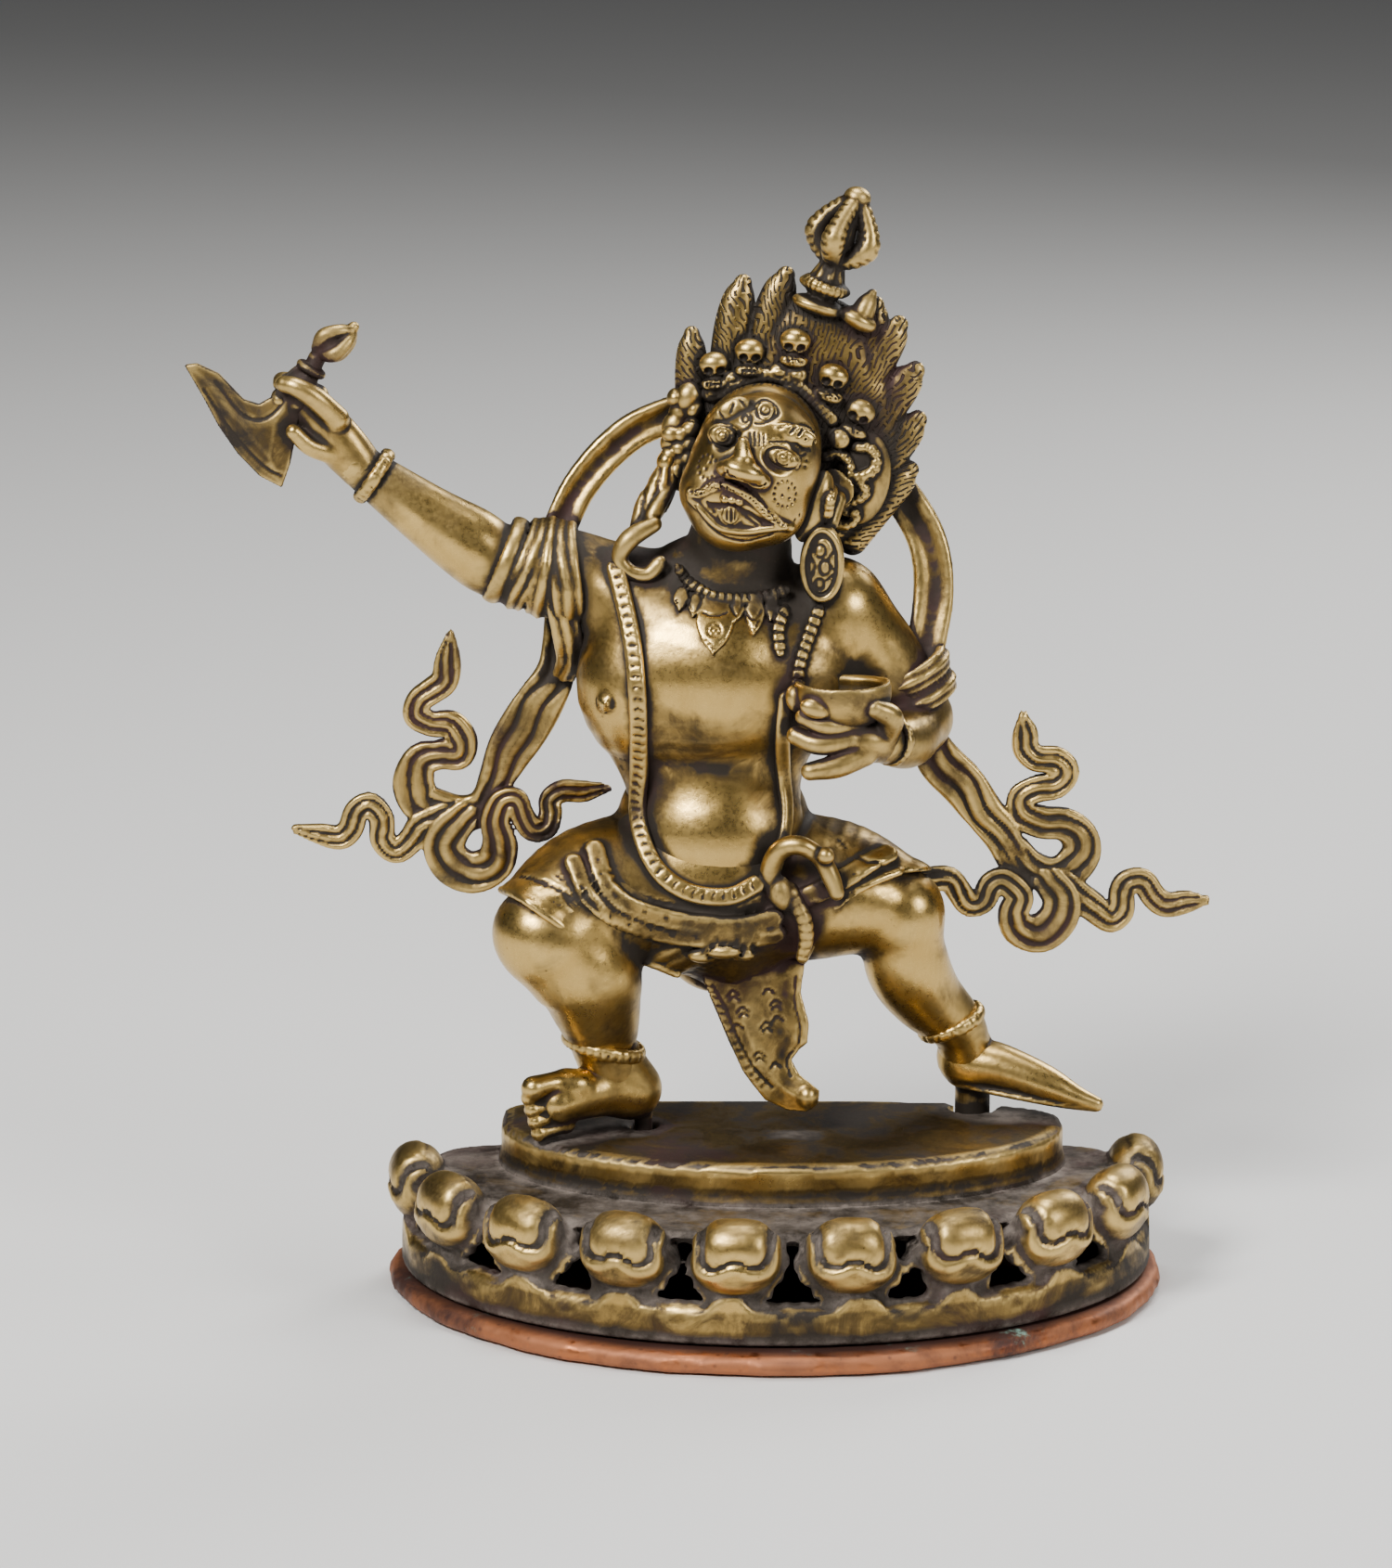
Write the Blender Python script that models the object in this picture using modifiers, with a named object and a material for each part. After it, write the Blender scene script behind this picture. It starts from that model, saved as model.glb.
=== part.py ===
"""A striding wrathful deity cast in brass, on a pierced brass lotus base with a copper plate under it.

Metres, +Z up, the front faces -Y. The origin is the centre of the copper plate's underside.
"""

import math

import bmesh
import bpy
from mathutils import Matrix, Vector

MM = 0.001

# Copper plate. Its outline is half an ellipse in front and a nearly flat back.
PLATE_HALF_WIDTH = 90.2 * MM
PLATE_DEPTH = 98.0 * MM
PLATE_THICKNESS = 5.2 * MM
PLATE_EDGE_ROUND = 1.6 * MM
SHEET = 1.4 * MM  # the plate's own thickness inside its thick rolled margin
MARGIN_INSIDE_WALL = 2.0 * MM  # how far the margin reaches in past the wall that stands on it
BACK_SHARE = 0.25  # share of an outline's depth that lies behind its widest line
BACK_SQUARENESS = 3.4
FIT_GAP = 0.3 * MM  # between pieces that rest on each other

# Lotus ring and plinth, one hollow casting.
PLATE_LEDGE = 3.4 * MM  # how far the plate stands out at the sides and back of the lotus ring
FRONT_LEDGE = 7.0 * MM
WALL = 2.8 * MM
BAND_HEIGHT = 8.3 * MM
PIERCED_HEIGHT = 7.0 * MM
PETAL_RISE = 12.0 * MM
PETAL_PITCH = 26.2 * MM
PETAL_WIDTH = 20.5 * MM
PETAL_COUNT = 10
PETAL_SHIFT = 3.2 * MM  # the row is cast a little off the middle
PETAL_BULGE = 5.2 * MM
PIERCING_WIDTH = 9.0 * MM
PLINTH_ROOT = 4.0 * MM  # how far the plinth reaches down into the shoulder
PLINTH_HALF_WIDTH = 64.9 * MM
PLINTH_SHIFT = 1.4 * MM
PLINTH_CORNERS = (6.5, 2.8)  # its left back corner is much sharper than the right one
PLINTH_DEPTH = 53.0 * MM
PLINTH_HEIGHT = 9.8 * MM
BAND_STEP = 2.2 * MM  # the pierced wall stands this far behind the plain band
PLINTH_BACK_INSET = 5.0 * MM
OUTLINE_POINTS = 48

# Tenons under the heels, and the holes in the plinth that they stand in.
HEEL_TENON_RADIUS = 4.2 * MM
TOE_TENON_RADIUS = 2.2 * MM
TENON_CLEARANCE = 0.9 * MM
TENON_BELOW_PLINTH = 1.5 * MM

# Figure. Its own unit is one 216th of its height above the plinth.
FIGURE_HEIGHT = 216.0 * MM
UNIT = FIGURE_HEIGHT / 216.0
FIGURE_SETBACK = 7.5 * MM  # the figure's own origin behind the outlines' widest line
CLAY_GRAIN = 0.95 * MM
FIGURE_FACES = 6000

BAND_TOP = PLATE_THICKNESS + FIT_GAP + BAND_HEIGHT
PETAL_FOOT = BAND_TOP + PIERCED_HEIGHT * 0.55
SHOULDER = BAND_TOP + PIERCED_HEIGHT + PETAL_RISE * 0.62
PLINTH_TOP = SHOULDER + PLINTH_HEIGHT
WIDEST_Y = PLATE_DEPTH / 2 - PLATE_DEPTH * BACK_SHARE
FIGURE_Y = WIDEST_Y + FIGURE_SETBACK

BRASS = ("brass", (0.46, 0.33, 0.14, 1), 0.36)
COPPER = ("copper", (0.55, 0.24, 0.13, 1), 0.42)


def clear_scene():
    for old in list(bpy.data.objects):
        bpy.data.objects.remove(old)


def collection(name, shown=True):
    made = bpy.data.collections.new(name)
    made.hide_render = not shown
    bpy.context.scene.collection.children.link(made)
    return made


def metal(name, colour, roughness):
    made = bpy.data.materials.new(name)
    made.use_nodes = True
    shader = made.node_tree.nodes["Principled BSDF"]
    shader.inputs["Base Color"].default_value = colour
    shader.inputs["Metallic"].default_value = 1.0
    shader.inputs["Roughness"].default_value = roughness
    return made


def mesh_object(name, build, where):
    """Adds an object whose mesh is filled by build(bm)."""
    bm = bmesh.new()
    build(bm)
    bmesh.ops.recalc_face_normals(bm, faces=bm.faces)
    mesh = bpy.data.meshes.new(name)
    bm.to_mesh(mesh)
    bm.free()
    made = bpy.data.objects.new(name, mesh)
    where.objects.link(made)
    return made


def bridge(bm, rings, cap_first=True, cap_last=True):
    """Skins closed rings of points, in order, and caps the ends."""
    rows = [[bm.verts.new(point) for point in ring] for ring in rings]
    count = len(rows[0])
    for low, high in zip(rows, rows[1:]):
        for i in range(count):
            j = (i + 1) % count
            bm.faces.new((low[i], low[j], high[j], high[i]))
    if cap_first:
        bm.faces.new(rows[0][::-1])
    if cap_last:
        bm.faces.new(rows[-1])


def smooth_path(points, steps):
    """A Catmull-Rom curve through the points, whatever each one holds."""
    padded = [points[0], *points, points[-1]]
    path = []
    for a, b, c, d in zip(padded, padded[1:], padded[2:], padded[3:]):
        for k in range(steps):
            t = k / steps
            path.append(tuple(
                0.5 * (2 * q + (r - p) * t + (2 * p - 5 * q + 4 * r - s) * t * t
                       + (3 * q - p - 3 * r + s) * t ** 3)
                for p, q, r, s in zip(a, b, c, d)
            ))
    path.append(points[-1])
    return path


class Clay:
    """Overlapping forms in figure units that are fused into one casting at the end."""

    def __init__(self, name, place, where):
        self.name = name
        self.place = place
        self.where = where
        self.forms = []

    def keep(self, form):
        self.forms.append(form)
        return form

    def ball(self, centre, radii, tilt=0.0, turn=0.0):
        """An ellipsoid. tilt leans its top towards +X, turn leans its top towards -Y, in degrees."""
        spin = Matrix.Rotation(math.radians(tilt), 4, "Y") @ Matrix.Rotation(math.radians(turn), 4, "X")
        size = Matrix.Diagonal((*radii, 1.0))

        def build(bm):
            bmesh.ops.create_uvsphere(bm, u_segments=20, v_segments=12, radius=1.0)
            bm.transform(Matrix.Translation(centre) @ spin @ size)

        return self.keep(mesh_object("ball", build, self.where))

    def limb(self, points, steps=5, sides=14):
        """A round tapering tube. Each point is x, y, z and radius."""
        curve = bpy.data.curves.new("limb", "CURVE")
        curve.dimensions = "3D"
        curve.bevel_depth = 1.0
        curve.bevel_resolution = max(1, sides // 4 - 1)
        curve.use_fill_caps = True
        path = smooth_path(points, steps)
        line = curve.splines.new("POLY")
        line.points.add(len(path) - 1)
        for target, (x, y, z, radius) in zip(line.points, path):
            target.co = (x, y, z, 1)
            target.radius = radius
        made = bpy.data.objects.new("limb", curve)
        self.where.objects.link(made)
        self.keep(made)
        for end in (points[0], points[-1]):
            self.ball(end[:3], (end[3] * 0.98,) * 3)

    def strap(self, points, facing=(0, -1, 0), steps=5, sides=12):
        """A flat tapering band. Each point is x, y, z, half width and half thickness."""
        front = Vector(facing)

        def build(bm):
            path = smooth_path(points, steps)
            rings = []
            for i, (x, y, z, wide, thick) in enumerate(path):
                here = Vector(path[max(i - 1, 0)][:3])
                ahead = Vector(path[min(i + 1, len(path) - 1)][:3])
                along = (ahead - here).normalized()
                across = along.cross(front).normalized()
                out = across.cross(along)
                rings.append([
                    Vector((x, y, z))
                    + across * wide * math.cos(math.tau * k / sides)
                    + out * thick * math.sin(math.tau * k / sides)
                    for k in range(sides)
                ])
            bridge(bm, rings)

        return self.keep(mesh_object("strap", build, self.where))

    def ring(self, centre, axis, radius, thickness, squash=1.0):
        """A bangle about an axis."""
        bpy.ops.mesh.primitive_torus_add(
            major_radius=radius, minor_radius=thickness, major_segments=28, minor_segments=8
        )
        made = bpy.context.object
        turn = Vector(axis).to_track_quat("Z", "Y").to_matrix().to_4x4()
        made.data.transform(Matrix.Translation(centre) @ turn @ Matrix.Diagonal((1, squash, 1, 1)))
        for home in list(made.users_collection):
            home.objects.unlink(made)
        self.where.objects.link(made)
        return self.keep(made)

    def fuse(self, faces, material):
        """Fuses the forms through a fine voxel grid and thins the faces where the surface is calm."""
        graph = bpy.context.evaluated_depsgraph_get()
        whole = bmesh.new()
        for form in self.forms:
            shape = bpy.data.meshes.new_from_object(form.evaluated_get(graph))
            shape.transform(form.matrix_world)
            whole.from_mesh(shape)
        whole.transform(Matrix.Translation(self.place) @ Matrix.Scale(UNIT, 4))
        mesh = bpy.data.meshes.new(self.name)
        whole.to_mesh(mesh)
        whole.free()
        for form in self.forms:
            bpy.data.objects.remove(form)
        made = bpy.data.objects.new(self.name, mesh)
        self.where.objects.link(made)
        made.data.materials.append(material)
        grain = made.modifiers.new("grain", "REMESH")
        grain.mode = "VOXEL"
        grain.voxel_size = CLAY_GRAIN
        soften = made.modifiers.new("soften", "SMOOTH")
        soften.factor = 0.5
        soften.iterations = 2
        graph = bpy.context.evaluated_depsgraph_get()
        fine = made.evaluated_get(graph).to_mesh()
        fine.calc_loop_triangles()
        thin = made.modifiers.new("thin", "DECIMATE")
        thin.ratio = min(1.0, faces / len(fine.loop_triangles))
        made.evaluated_get(graph).to_mesh_clear()
        return made


def d_outline(half_width, front, back, z, corners=(BACK_SQUARENESS, BACK_SQUARENESS), shift=0.0):
    """A closed outline, half an ellipse in front of the widest line and squarer behind it."""
    points = []
    for k in range(OUTLINE_POINTS):
        angle = math.tau * k / OUTLINE_POINTS
        x, y = math.cos(angle), math.sin(angle)
        if y < 0:
            points.append(Vector((shift + half_width * x, WIDEST_Y + front * y, z)))
            continue
        power = 2 / corners[0 if x < 0 else 1]
        points.append(Vector((
            shift + half_width * math.copysign(abs(x) ** power, x), WIDEST_Y + back * abs(y) ** power, z
        )))
    return points


def plate_outline(inset, z):
    front = PLATE_DEPTH * (1 - BACK_SHARE)
    back = PLATE_DEPTH * BACK_SHARE
    return d_outline(PLATE_HALF_WIDTH - inset, front - inset, back - inset, z)


def ring_outline(inset, z):
    """The lotus ring's outline, a ledge inside the plate's."""
    front = PLATE_DEPTH * (1 - BACK_SHARE) - FRONT_LEDGE
    back = PLATE_DEPTH * BACK_SHARE - PLATE_LEDGE
    return d_outline(PLATE_HALF_WIDTH - PLATE_LEDGE - inset, front - inset, back - inset, z)


def plinth_outline(inset, z):
    back = PLATE_DEPTH * BACK_SHARE - PLATE_LEDGE - PLINTH_BACK_INSET
    return d_outline(
        PLINTH_HALF_WIDTH - inset, PLINTH_DEPTH - back - inset, back - inset, z, PLINTH_CORNERS, PLINTH_SHIFT
    )


def base_plate(where, cutters, material):
    """The copper tray that closes the hollow base, a sheet with a thick rolled margin."""
    plate = mesh_object(
        "base_plate",
        lambda bm: bridge(bm, [plate_outline(0, 0), plate_outline(0, PLATE_THICKNESS)]),
        where,
    )
    plate.data.materials.append(material)
    edge = plate.modifiers.new("rolled_edge", "BEVEL")
    edge.width = PLATE_EDGE_ROUND
    edge.segments = 2
    edge.limit_method = "ANGLE"
    inset = WALL + MARGIN_INSIDE_WALL
    pan = mesh_object(
        "pan",
        lambda bm: bridge(bm, [ring_outline(inset, SHEET), ring_outline(inset, PLATE_THICKNESS * 2)]),
        cutters,
    )
    boolean(plate, pan, "DIFFERENCE")
    return plate


def petal_sites():
    """Points round the front and sides of the lotus ring, one petal pitch apart, with their outward way."""
    outline = ring_outline(0, 0)
    loop = outline[OUTLINE_POINTS * 3 // 4:] + outline[:OUTLINE_POINTS * 3 // 4 + 1]
    lengths = [0.0]
    for a, b in zip(loop, loop[1:]):
        lengths.append(lengths[-1] + (b - a).length)

    def at(distance):
        distance %= lengths[-1]
        for i in range(len(lengths) - 1):
            if distance <= lengths[i + 1]:
                share = (distance - lengths[i]) / (lengths[i + 1] - lengths[i])
                along = (loop[i + 1] - loop[i]).normalized()
                return loop[i].lerp(loop[i + 1], share), Vector((along.y, -along.x, 0))

    first = PETAL_SHIFT - (PETAL_COUNT - 1) / 2 * PETAL_PITCH
    petals = [at(first + k * PETAL_PITCH) for k in range(PETAL_COUNT)]
    gaps = [at(first + (k + 0.5) * PETAL_PITCH) for k in range(PETAL_COUNT - 1)]
    return petals, gaps


def facing_matrix(site, out, z):
    side = Vector((0, 0, 1)).cross(out)
    frame = Matrix((side, out, Vector((0, 0, 1)))).transposed().to_4x4()
    return Matrix.Translation((site.x, site.y, z)) @ frame


def boolean(target, tool, operation):
    step = target.modifiers.new(operation.lower(), "BOOLEAN")
    step.operation = operation
    if isinstance(tool, bpy.types.Collection):
        step.operand_type = "COLLECTION"
        step.collection = tool
    else:
        step.object = tool


def lotus_base(where, cutters, material):
    """The pierced lotus ring with its plinth, one hollow casting that is open below."""
    foot = PLATE_THICKNESS + FIT_GAP
    neck = BAND_STEP
    base = mesh_object(
        "lotus_base",
        lambda bm: bridge(bm, [
            ring_outline(0, foot),
            ring_outline(0, BAND_TOP),
            ring_outline(neck, BAND_TOP + 0.9 * MM),
            ring_outline(neck, BAND_TOP + PIERCED_HEIGHT),
            ring_outline(neck + 2.3 * MM, SHOULDER - 2.4 * MM),
            ring_outline(neck + 6.3 * MM, SHOULDER),
        ]),
        where,
    )
    base.data.materials.append(material)
    buds = collection("petals", shown=False)
    mesh_object(
        "plinth",
        lambda bm: bridge(bm, [plinth_outline(0, SHOULDER - PLINTH_ROOT), plinth_outline(0, PLINTH_TOP)]),
        buds,
    ).display_type = "WIRE"

    petals, gaps = petal_sites()
    middle = PETAL_FOOT + PETAL_RISE / 2
    for k, (site, out) in enumerate(petals):
        spot = facing_matrix(site - out * PETAL_BULGE, out, middle)
        tilt = Matrix.Rotation(math.radians(14), 4, "X")
        size = Matrix.Diagonal((PETAL_WIDTH / 2, PETAL_BULGE + 1.2 * MM, PETAL_RISE * 0.6, 1))

        def build(bm, move=spot @ tilt @ size):
            bmesh.ops.create_uvsphere(bm, u_segments=12, v_segments=6, radius=1.0)
            bm.transform(move)

        mesh_object(f"petal_{k}", build, buds).display_type = "WIRE"
    boolean(base, buds, "UNION")

    hollow = mesh_object(
        "hollow",
        lambda bm: bridge(bm, [
            ring_outline(WALL, foot - WALL),
            ring_outline(WALL, BAND_TOP - WALL),
            ring_outline(neck + WALL, BAND_TOP - WALL + 0.9 * MM),
            ring_outline(neck + WALL, BAND_TOP + PIERCED_HEIGHT - WALL),
            ring_outline(neck + 6.3 * MM + WALL, SHOULDER - WALL),
        ]),
        cutters,
    )
    boolean(base, hollow, "DIFFERENCE")
    loft = mesh_object(
        "plinth_hollow",
        lambda bm: bridge(bm, [
            plinth_outline(WALL, SHOULDER - PLINTH_ROOT - WALL), plinth_outline(WALL, PLINTH_TOP - WALL),
        ]),
        cutters,
    )
    boolean(base, loft, "DIFFERENCE")

    for k, (site, out) in enumerate(gaps):
        spot = facing_matrix(site, out, BAND_TOP + 0.8 * MM)
        reach = WALL * 3
        half = PIERCING_WIDTH / 2
        top = PIERCED_HEIGHT * 1.05
        corners = [(-half, 0), (half, 0), (0.12 * half, top), (-0.12 * half, top)]

        def build(bm, move=spot, corners=corners, reach=reach):
            bridge(bm, [[move @ Vector((x, y, z)) for x, z in corners] for y in (-reach, reach)])

        boolean(base, mesh_object(f"piercing_{k}", build, cutters), "DIFFERENCE")

    for name, (x, y, radius) in tenon_sites().items():
        def build(bm, x=x, y=y, radius=radius):
            bmesh.ops.create_cone(
                bm, cap_ends=True, segments=24, radius1=radius, radius2=radius, depth=WALL * 4
            )
            bm.transform(Matrix.Translation((x, y, PLINTH_TOP - WALL / 2)))

        boolean(base, mesh_object(f"socket_{name}", build, cutters), "DIFFERENCE")
    return base


HEELS = {"stretched": (45.9, 3.5), "bent": (-30.6, -11.5)}


def tenon_sites():
    """Where each tenon stands, in metres, and the radius of its hole."""
    radii = {"stretched": HEEL_TENON_RADIUS, "bent": TOE_TENON_RADIUS}
    return {
        name: (x * UNIT, FIGURE_Y + y * UNIT, radii[name] + TENON_CLEARANCE)
        for name, (x, y) in HEELS.items()
    }


# Joints of the pose in figure units: x to the right of the photograph, y backwards, z above the plinth.
PELVIS = (-14.6, -5.0, 55.0)
WAIST = (-14.5, -6.0, 78.5)
CHEST = (-15.5, -9.0, 100.5)
NECK = (-9.0, -6.5, 131.0)
HEAD = (-5.6, -15.0, 153.7)
HEAD_TILT = 20.0
KNEE_BENT = (-53.8, -23.0, 49.0)
ANKLE_BENT = (-39.5, -15.0, 20.0)
KNEE_STRETCHED = (28.5, -11.0, 51.0)
ANKLE_STRETCHED = (42.0, -1.0, 20.5)
WRIST_RAISED = (-91.5, -6.0, 151.0)
ELBOW_LOW = (31.5, -2.0, 94.0)
CUP = (14.3, -26.0, 103.5)


def model_torso(clay):
    """Chest, waist and hips as one loft of unlike ellipses, then shoulders and neck."""
    clay.strap([
        (-13.0, -5.0, 44.0, 14.0, 10.0),
        (PELVIS[0], PELVIS[1], PELVIS[2], 25.0, 16.5),
        (-14.2, -7.0, 67.5, 21.5, 15.5),
        (*WAIST, 20.0, 14.5),
        (-15.0, -8.0, 89.5, 25.0, 17.5),
        (*CHEST, 29.0, 19.0),
        (-13.2, -8.0, 111.5, 31.0, 17.0),
        (-11.0, -6.0, 122.0, 29.0, 13.0),
        (-10.0, -5.5, 129.5, 19.0, 10.5),
        (-9.0, -6.0, 133.5, 11.0, 9.0),
    ], steps=3, sides=24)
    clay.limb([(*NECK, 11.5), (-8.0, -9.0, 141.0, 11.0)])
    clay.ball((-33.0, -6.0, 121.5), (11.5, 11.0, 11.5))
    clay.ball((12.0, -5.0, 119.0), (12.0, 11.0, 12.5))


def model_legs(clay):
    """Both bent legs, with ankle rings, feet and the tenons that hold them."""
    clay.limb([(-22.0, -6.0, 55.0, 17.0), (-40.0, -14.0, 54.0, 15.5), (*KNEE_BENT, 11.0)])
    clay.limb([
        (-50.0, -22.0, 46.5, 12.4), (-43.5, -20.0, 38.5, 12.6), (-41.2, -18.0, 30.0, 10.4),
        (-40.0, -16.0, 23.5, 8.6), (*ANKLE_BENT, 7.6), (-37.5, -14.0, 13.0, 7.2),
    ])
    clay.ring((-39.7, -15.5, 20.3), (0.25, 0.05, 1.0), 9.2, 1.3)
    clay.limb([(-33.5, -12.5, 8.5, 6.2), (-42.0, -17.0, 9.5, 6.0), (-49.5, -22.0, 9.0, 5.0)])
    clay.limb([(-48.0, -22.0, 13.0, 3.2), (-54.5, -26.0, 13.0, 3.0)])
    for k in range(4):
        drop = 3.0 * k
        clay.limb([(-49.0, -22.5, 11.0 - 0.8 * drop, 2.6), (-56.5 + 0.25 * drop, -26.5, 11.2 - 0.93 * drop, 1.9)])

    clay.limb([(-4.0, -5.0, 54.0, 17.0), (14.0, -9.0, 54.0, 14.5), (*KNEE_STRETCHED, 9.6)])
    clay.limb([
        (28.5, -11.0, 46.5, 9.0), (30.0, -9.0, 37.5, 9.8), (34.5, -5.0, 29.0, 8.6),
        (*ANKLE_STRETCHED, 6.6), (44.0, 1.0, 14.0, 6.2),
    ])
    clay.ring((40.5, -2.0, 22.0), (-0.42, -0.1, 1.0), 7.6, 1.3)
    clay.limb([
        (44.0, 2.0, 12.5, 6.4), (52.0, -1.0, 10.8, 5.8), (62.0, -4.0, 7.8, 4.8), (73.5, -7.0, 3.8, 2.0),
    ])


def model_tenons(clay):
    below = (WALL + TENON_BELOW_PLINTH) / UNIT
    for name, radius, top in (
        ("stretched", HEEL_TENON_RADIUS, 10.0),
        ("bent", TOE_TENON_RADIUS, 8.0),
    ):
        x, y = HEELS[name]
        wide = radius / UNIT

        def build(bm, x=x, y=y, wide=wide, top=top):
            bmesh.ops.create_cone(
                bm, cap_ends=True, segments=20, radius1=wide, radius2=wide, depth=top + below
            )
            bm.transform(Matrix.Translation((x, y, (top - below) / 2)))

        clay.keep(mesh_object("tenon", build, clay.where))


def model_arms(clay):
    """The raised arm with its hand, and the low arm whose hand carries the cup."""
    clay.limb([
        (-36.0, -5.0, 124.5, 10.5), (-50.0, -5.0, 129.5, 9.6), (-63.0, -5.0, 131.0, 8.8),
        (-77.5, -5.5, 140.6, 7.5), (*WRIST_RAISED, 5.4), (-97.0, -7.0, 156.0, 5.2),
    ])
    clay.ring((-91.0, -6.0, 150.8), (-0.83, 0, 0.56), 6.3, 1.2)
    clay.ring((-60.5, -5.0, 131.0), (-0.93, 0, 0.35), 9.6, 1.3)
    for k in range(3):
        clay.ring((-54.5 + 4.2 * k, -5.0, 130.2 - 1.2 * k), (-0.95, 0, 0.3), 10.0, 2.0)
    clay.strap([
        (-95.0, -7.0, 154.0, 5.0, 4.0), (-101.0, -8.0, 161.0, 5.4, 3.8), (-106.0, -8.5, 168.0, 4.6, 3.2),
    ])
    clay.limb([(-101.0, -10.0, 168.0, 2.0), (-106.0, -12.5, 171.0, 1.9), (-109.5, -12.5, 173.0, 1.6)])
    for k in range(3):
        z = 163.0 + 4.0 * k
        clay.limb([
            (-103.0 - k, -6.0, z, 2.1), (-108.0 - 1.5 * k, -4.5, z + 2.0, 2.0),
            (-113.0 + 0.6 * k, -6.5, z + 3.0, 1.7),
        ])

    clay.limb([(13.0, -4.5, 119.5, 11.5), (23.0, -3.0, 108.0, 10.2), (*ELBOW_LOW, 8.6)])
    clay.limb([(*ELBOW_LOW, 8.2), (29.0, -13.0, 91.5, 6.8), (23.0, -23.0, 93.5, 5.2)])
    clay.ring((30.5, -1.5, 103.0), (0.45, 0.1, -0.9), 9.3, 2.2)
    clay.ring((31.5, -1.5, 99.0), (0.45, 0.1, -0.9), 9.0, 2.0)
    clay.ball((18.5, -26.0, 94.0), (7.0, 5.5, 4.6))
    clay.limb([(18.0, -28.0, 92.0, 2.6), (13.0, -31.0, 89.5, 2.1), (8.5, -32.0, 88.5, 1.8)])
    clay.limb([(15.0, -29.5, 95.5, 2.2), (8.0, -31.0, 95.0, 1.9), (4.0, -29.0, 96.5, 1.6)])
    clay.limb([(24.0, -27.0, 97.0, 2.4), (24.5, -30.0, 100.5, 2.2), (20.0, -31.5, 102.5, 1.8)])


def model_knife(clay):
    """The flaying knife: a crescent blade in one flat outline, and a half thunderbolt on its neck."""
    half = 1.5
    outline = [
        (-133.0, 176.0), (-130.5, 177.5), (-125.5, 175.5), (-119.5, 169.5), (-116.5, 168.0), (-113.5, 170.0),
        (-110.5, 174.5), (-108.0, 176.0), (-105.5, 176.0), (-107.5, 164.0), (-108.5, 156.5), (-111.5, 149.0),
        (-116.5, 152.0), (-121.5, 157.0), (-125.5, 163.0), (-128.5, 169.5),
    ]
    curve = bpy.data.curves.new("blade", "CURVE")
    curve.dimensions = "2D"
    curve.fill_mode = "BOTH"
    curve.extrude = half
    line = curve.splines.new("POLY")
    line.points.add(len(outline) - 1)
    for target, (x, z) in zip(line.points, outline):
        target.co = (x, z, 0, 1)
    line.use_cyclic_u = True
    blade = bpy.data.objects.new("blade", curve)
    blade.matrix_world = Matrix.Translation((0, -10.0, 0)) @ Matrix.Rotation(math.radians(90), 4, "X")
    clay.where.objects.link(blade)
    clay.keep(blade)
    clay.limb([(-107.5, -9.5, 170.0, 2.6), (-105.0, -9.0, 175.0, 3.0), (-103.5, -8.5, 178.0, 2.6)])
    clay.limb([(-102.5, -8.5, 179.0, 4.0), (-99.6, -8.0, 181.2, 4.8), (-97.3, -8.0, 181.6, 4.2)])
    clay.limb([(-97.0, -8.0, 182.5, 2.6), (-95.4, -8.0, 184.6, 1.6)])


def model_cup(clay):
    """The skull cup, a turned bowl that is open upwards."""
    outer, wall, depth = 11.0, 2.2, 10.0
    x, y, z = CUP
    steps = 6
    arc = [math.radians(90 * k / steps) for k in range(steps + 1)]
    outside = [(outer * math.sin(a), -depth * math.cos(a)) for a in arc]
    inside = [((outer - wall) * math.sin(a), -(depth - wall) * math.cos(a)) for a in reversed(arc)]

    def build(bm):
        line = [bm.verts.new((r, 0, h)) for r, h in outside + inside]
        edges = [bm.edges.new(pair) for pair in zip(line, line[1:])]
        bmesh.ops.spin(
            bm, geom=line + edges, cent=(0, 0, 0), axis=(0, 0, 1), angle=math.tau, steps=24,
            use_merge=True,
        )
        bmesh.ops.remove_doubles(bm, verts=bm.verts, dist=1e-4)
        bm.transform(Matrix.Translation((x, y, z + 2.0)) @ Matrix.Diagonal((1.0, 0.8, 0.85, 1.0)))

    clay.keep(mesh_object("cup", build, clay.where))
    clay.ball((x - 9.5, y - 2.0, z + 0.5), (2.6, 2.6, 3.0))


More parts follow.
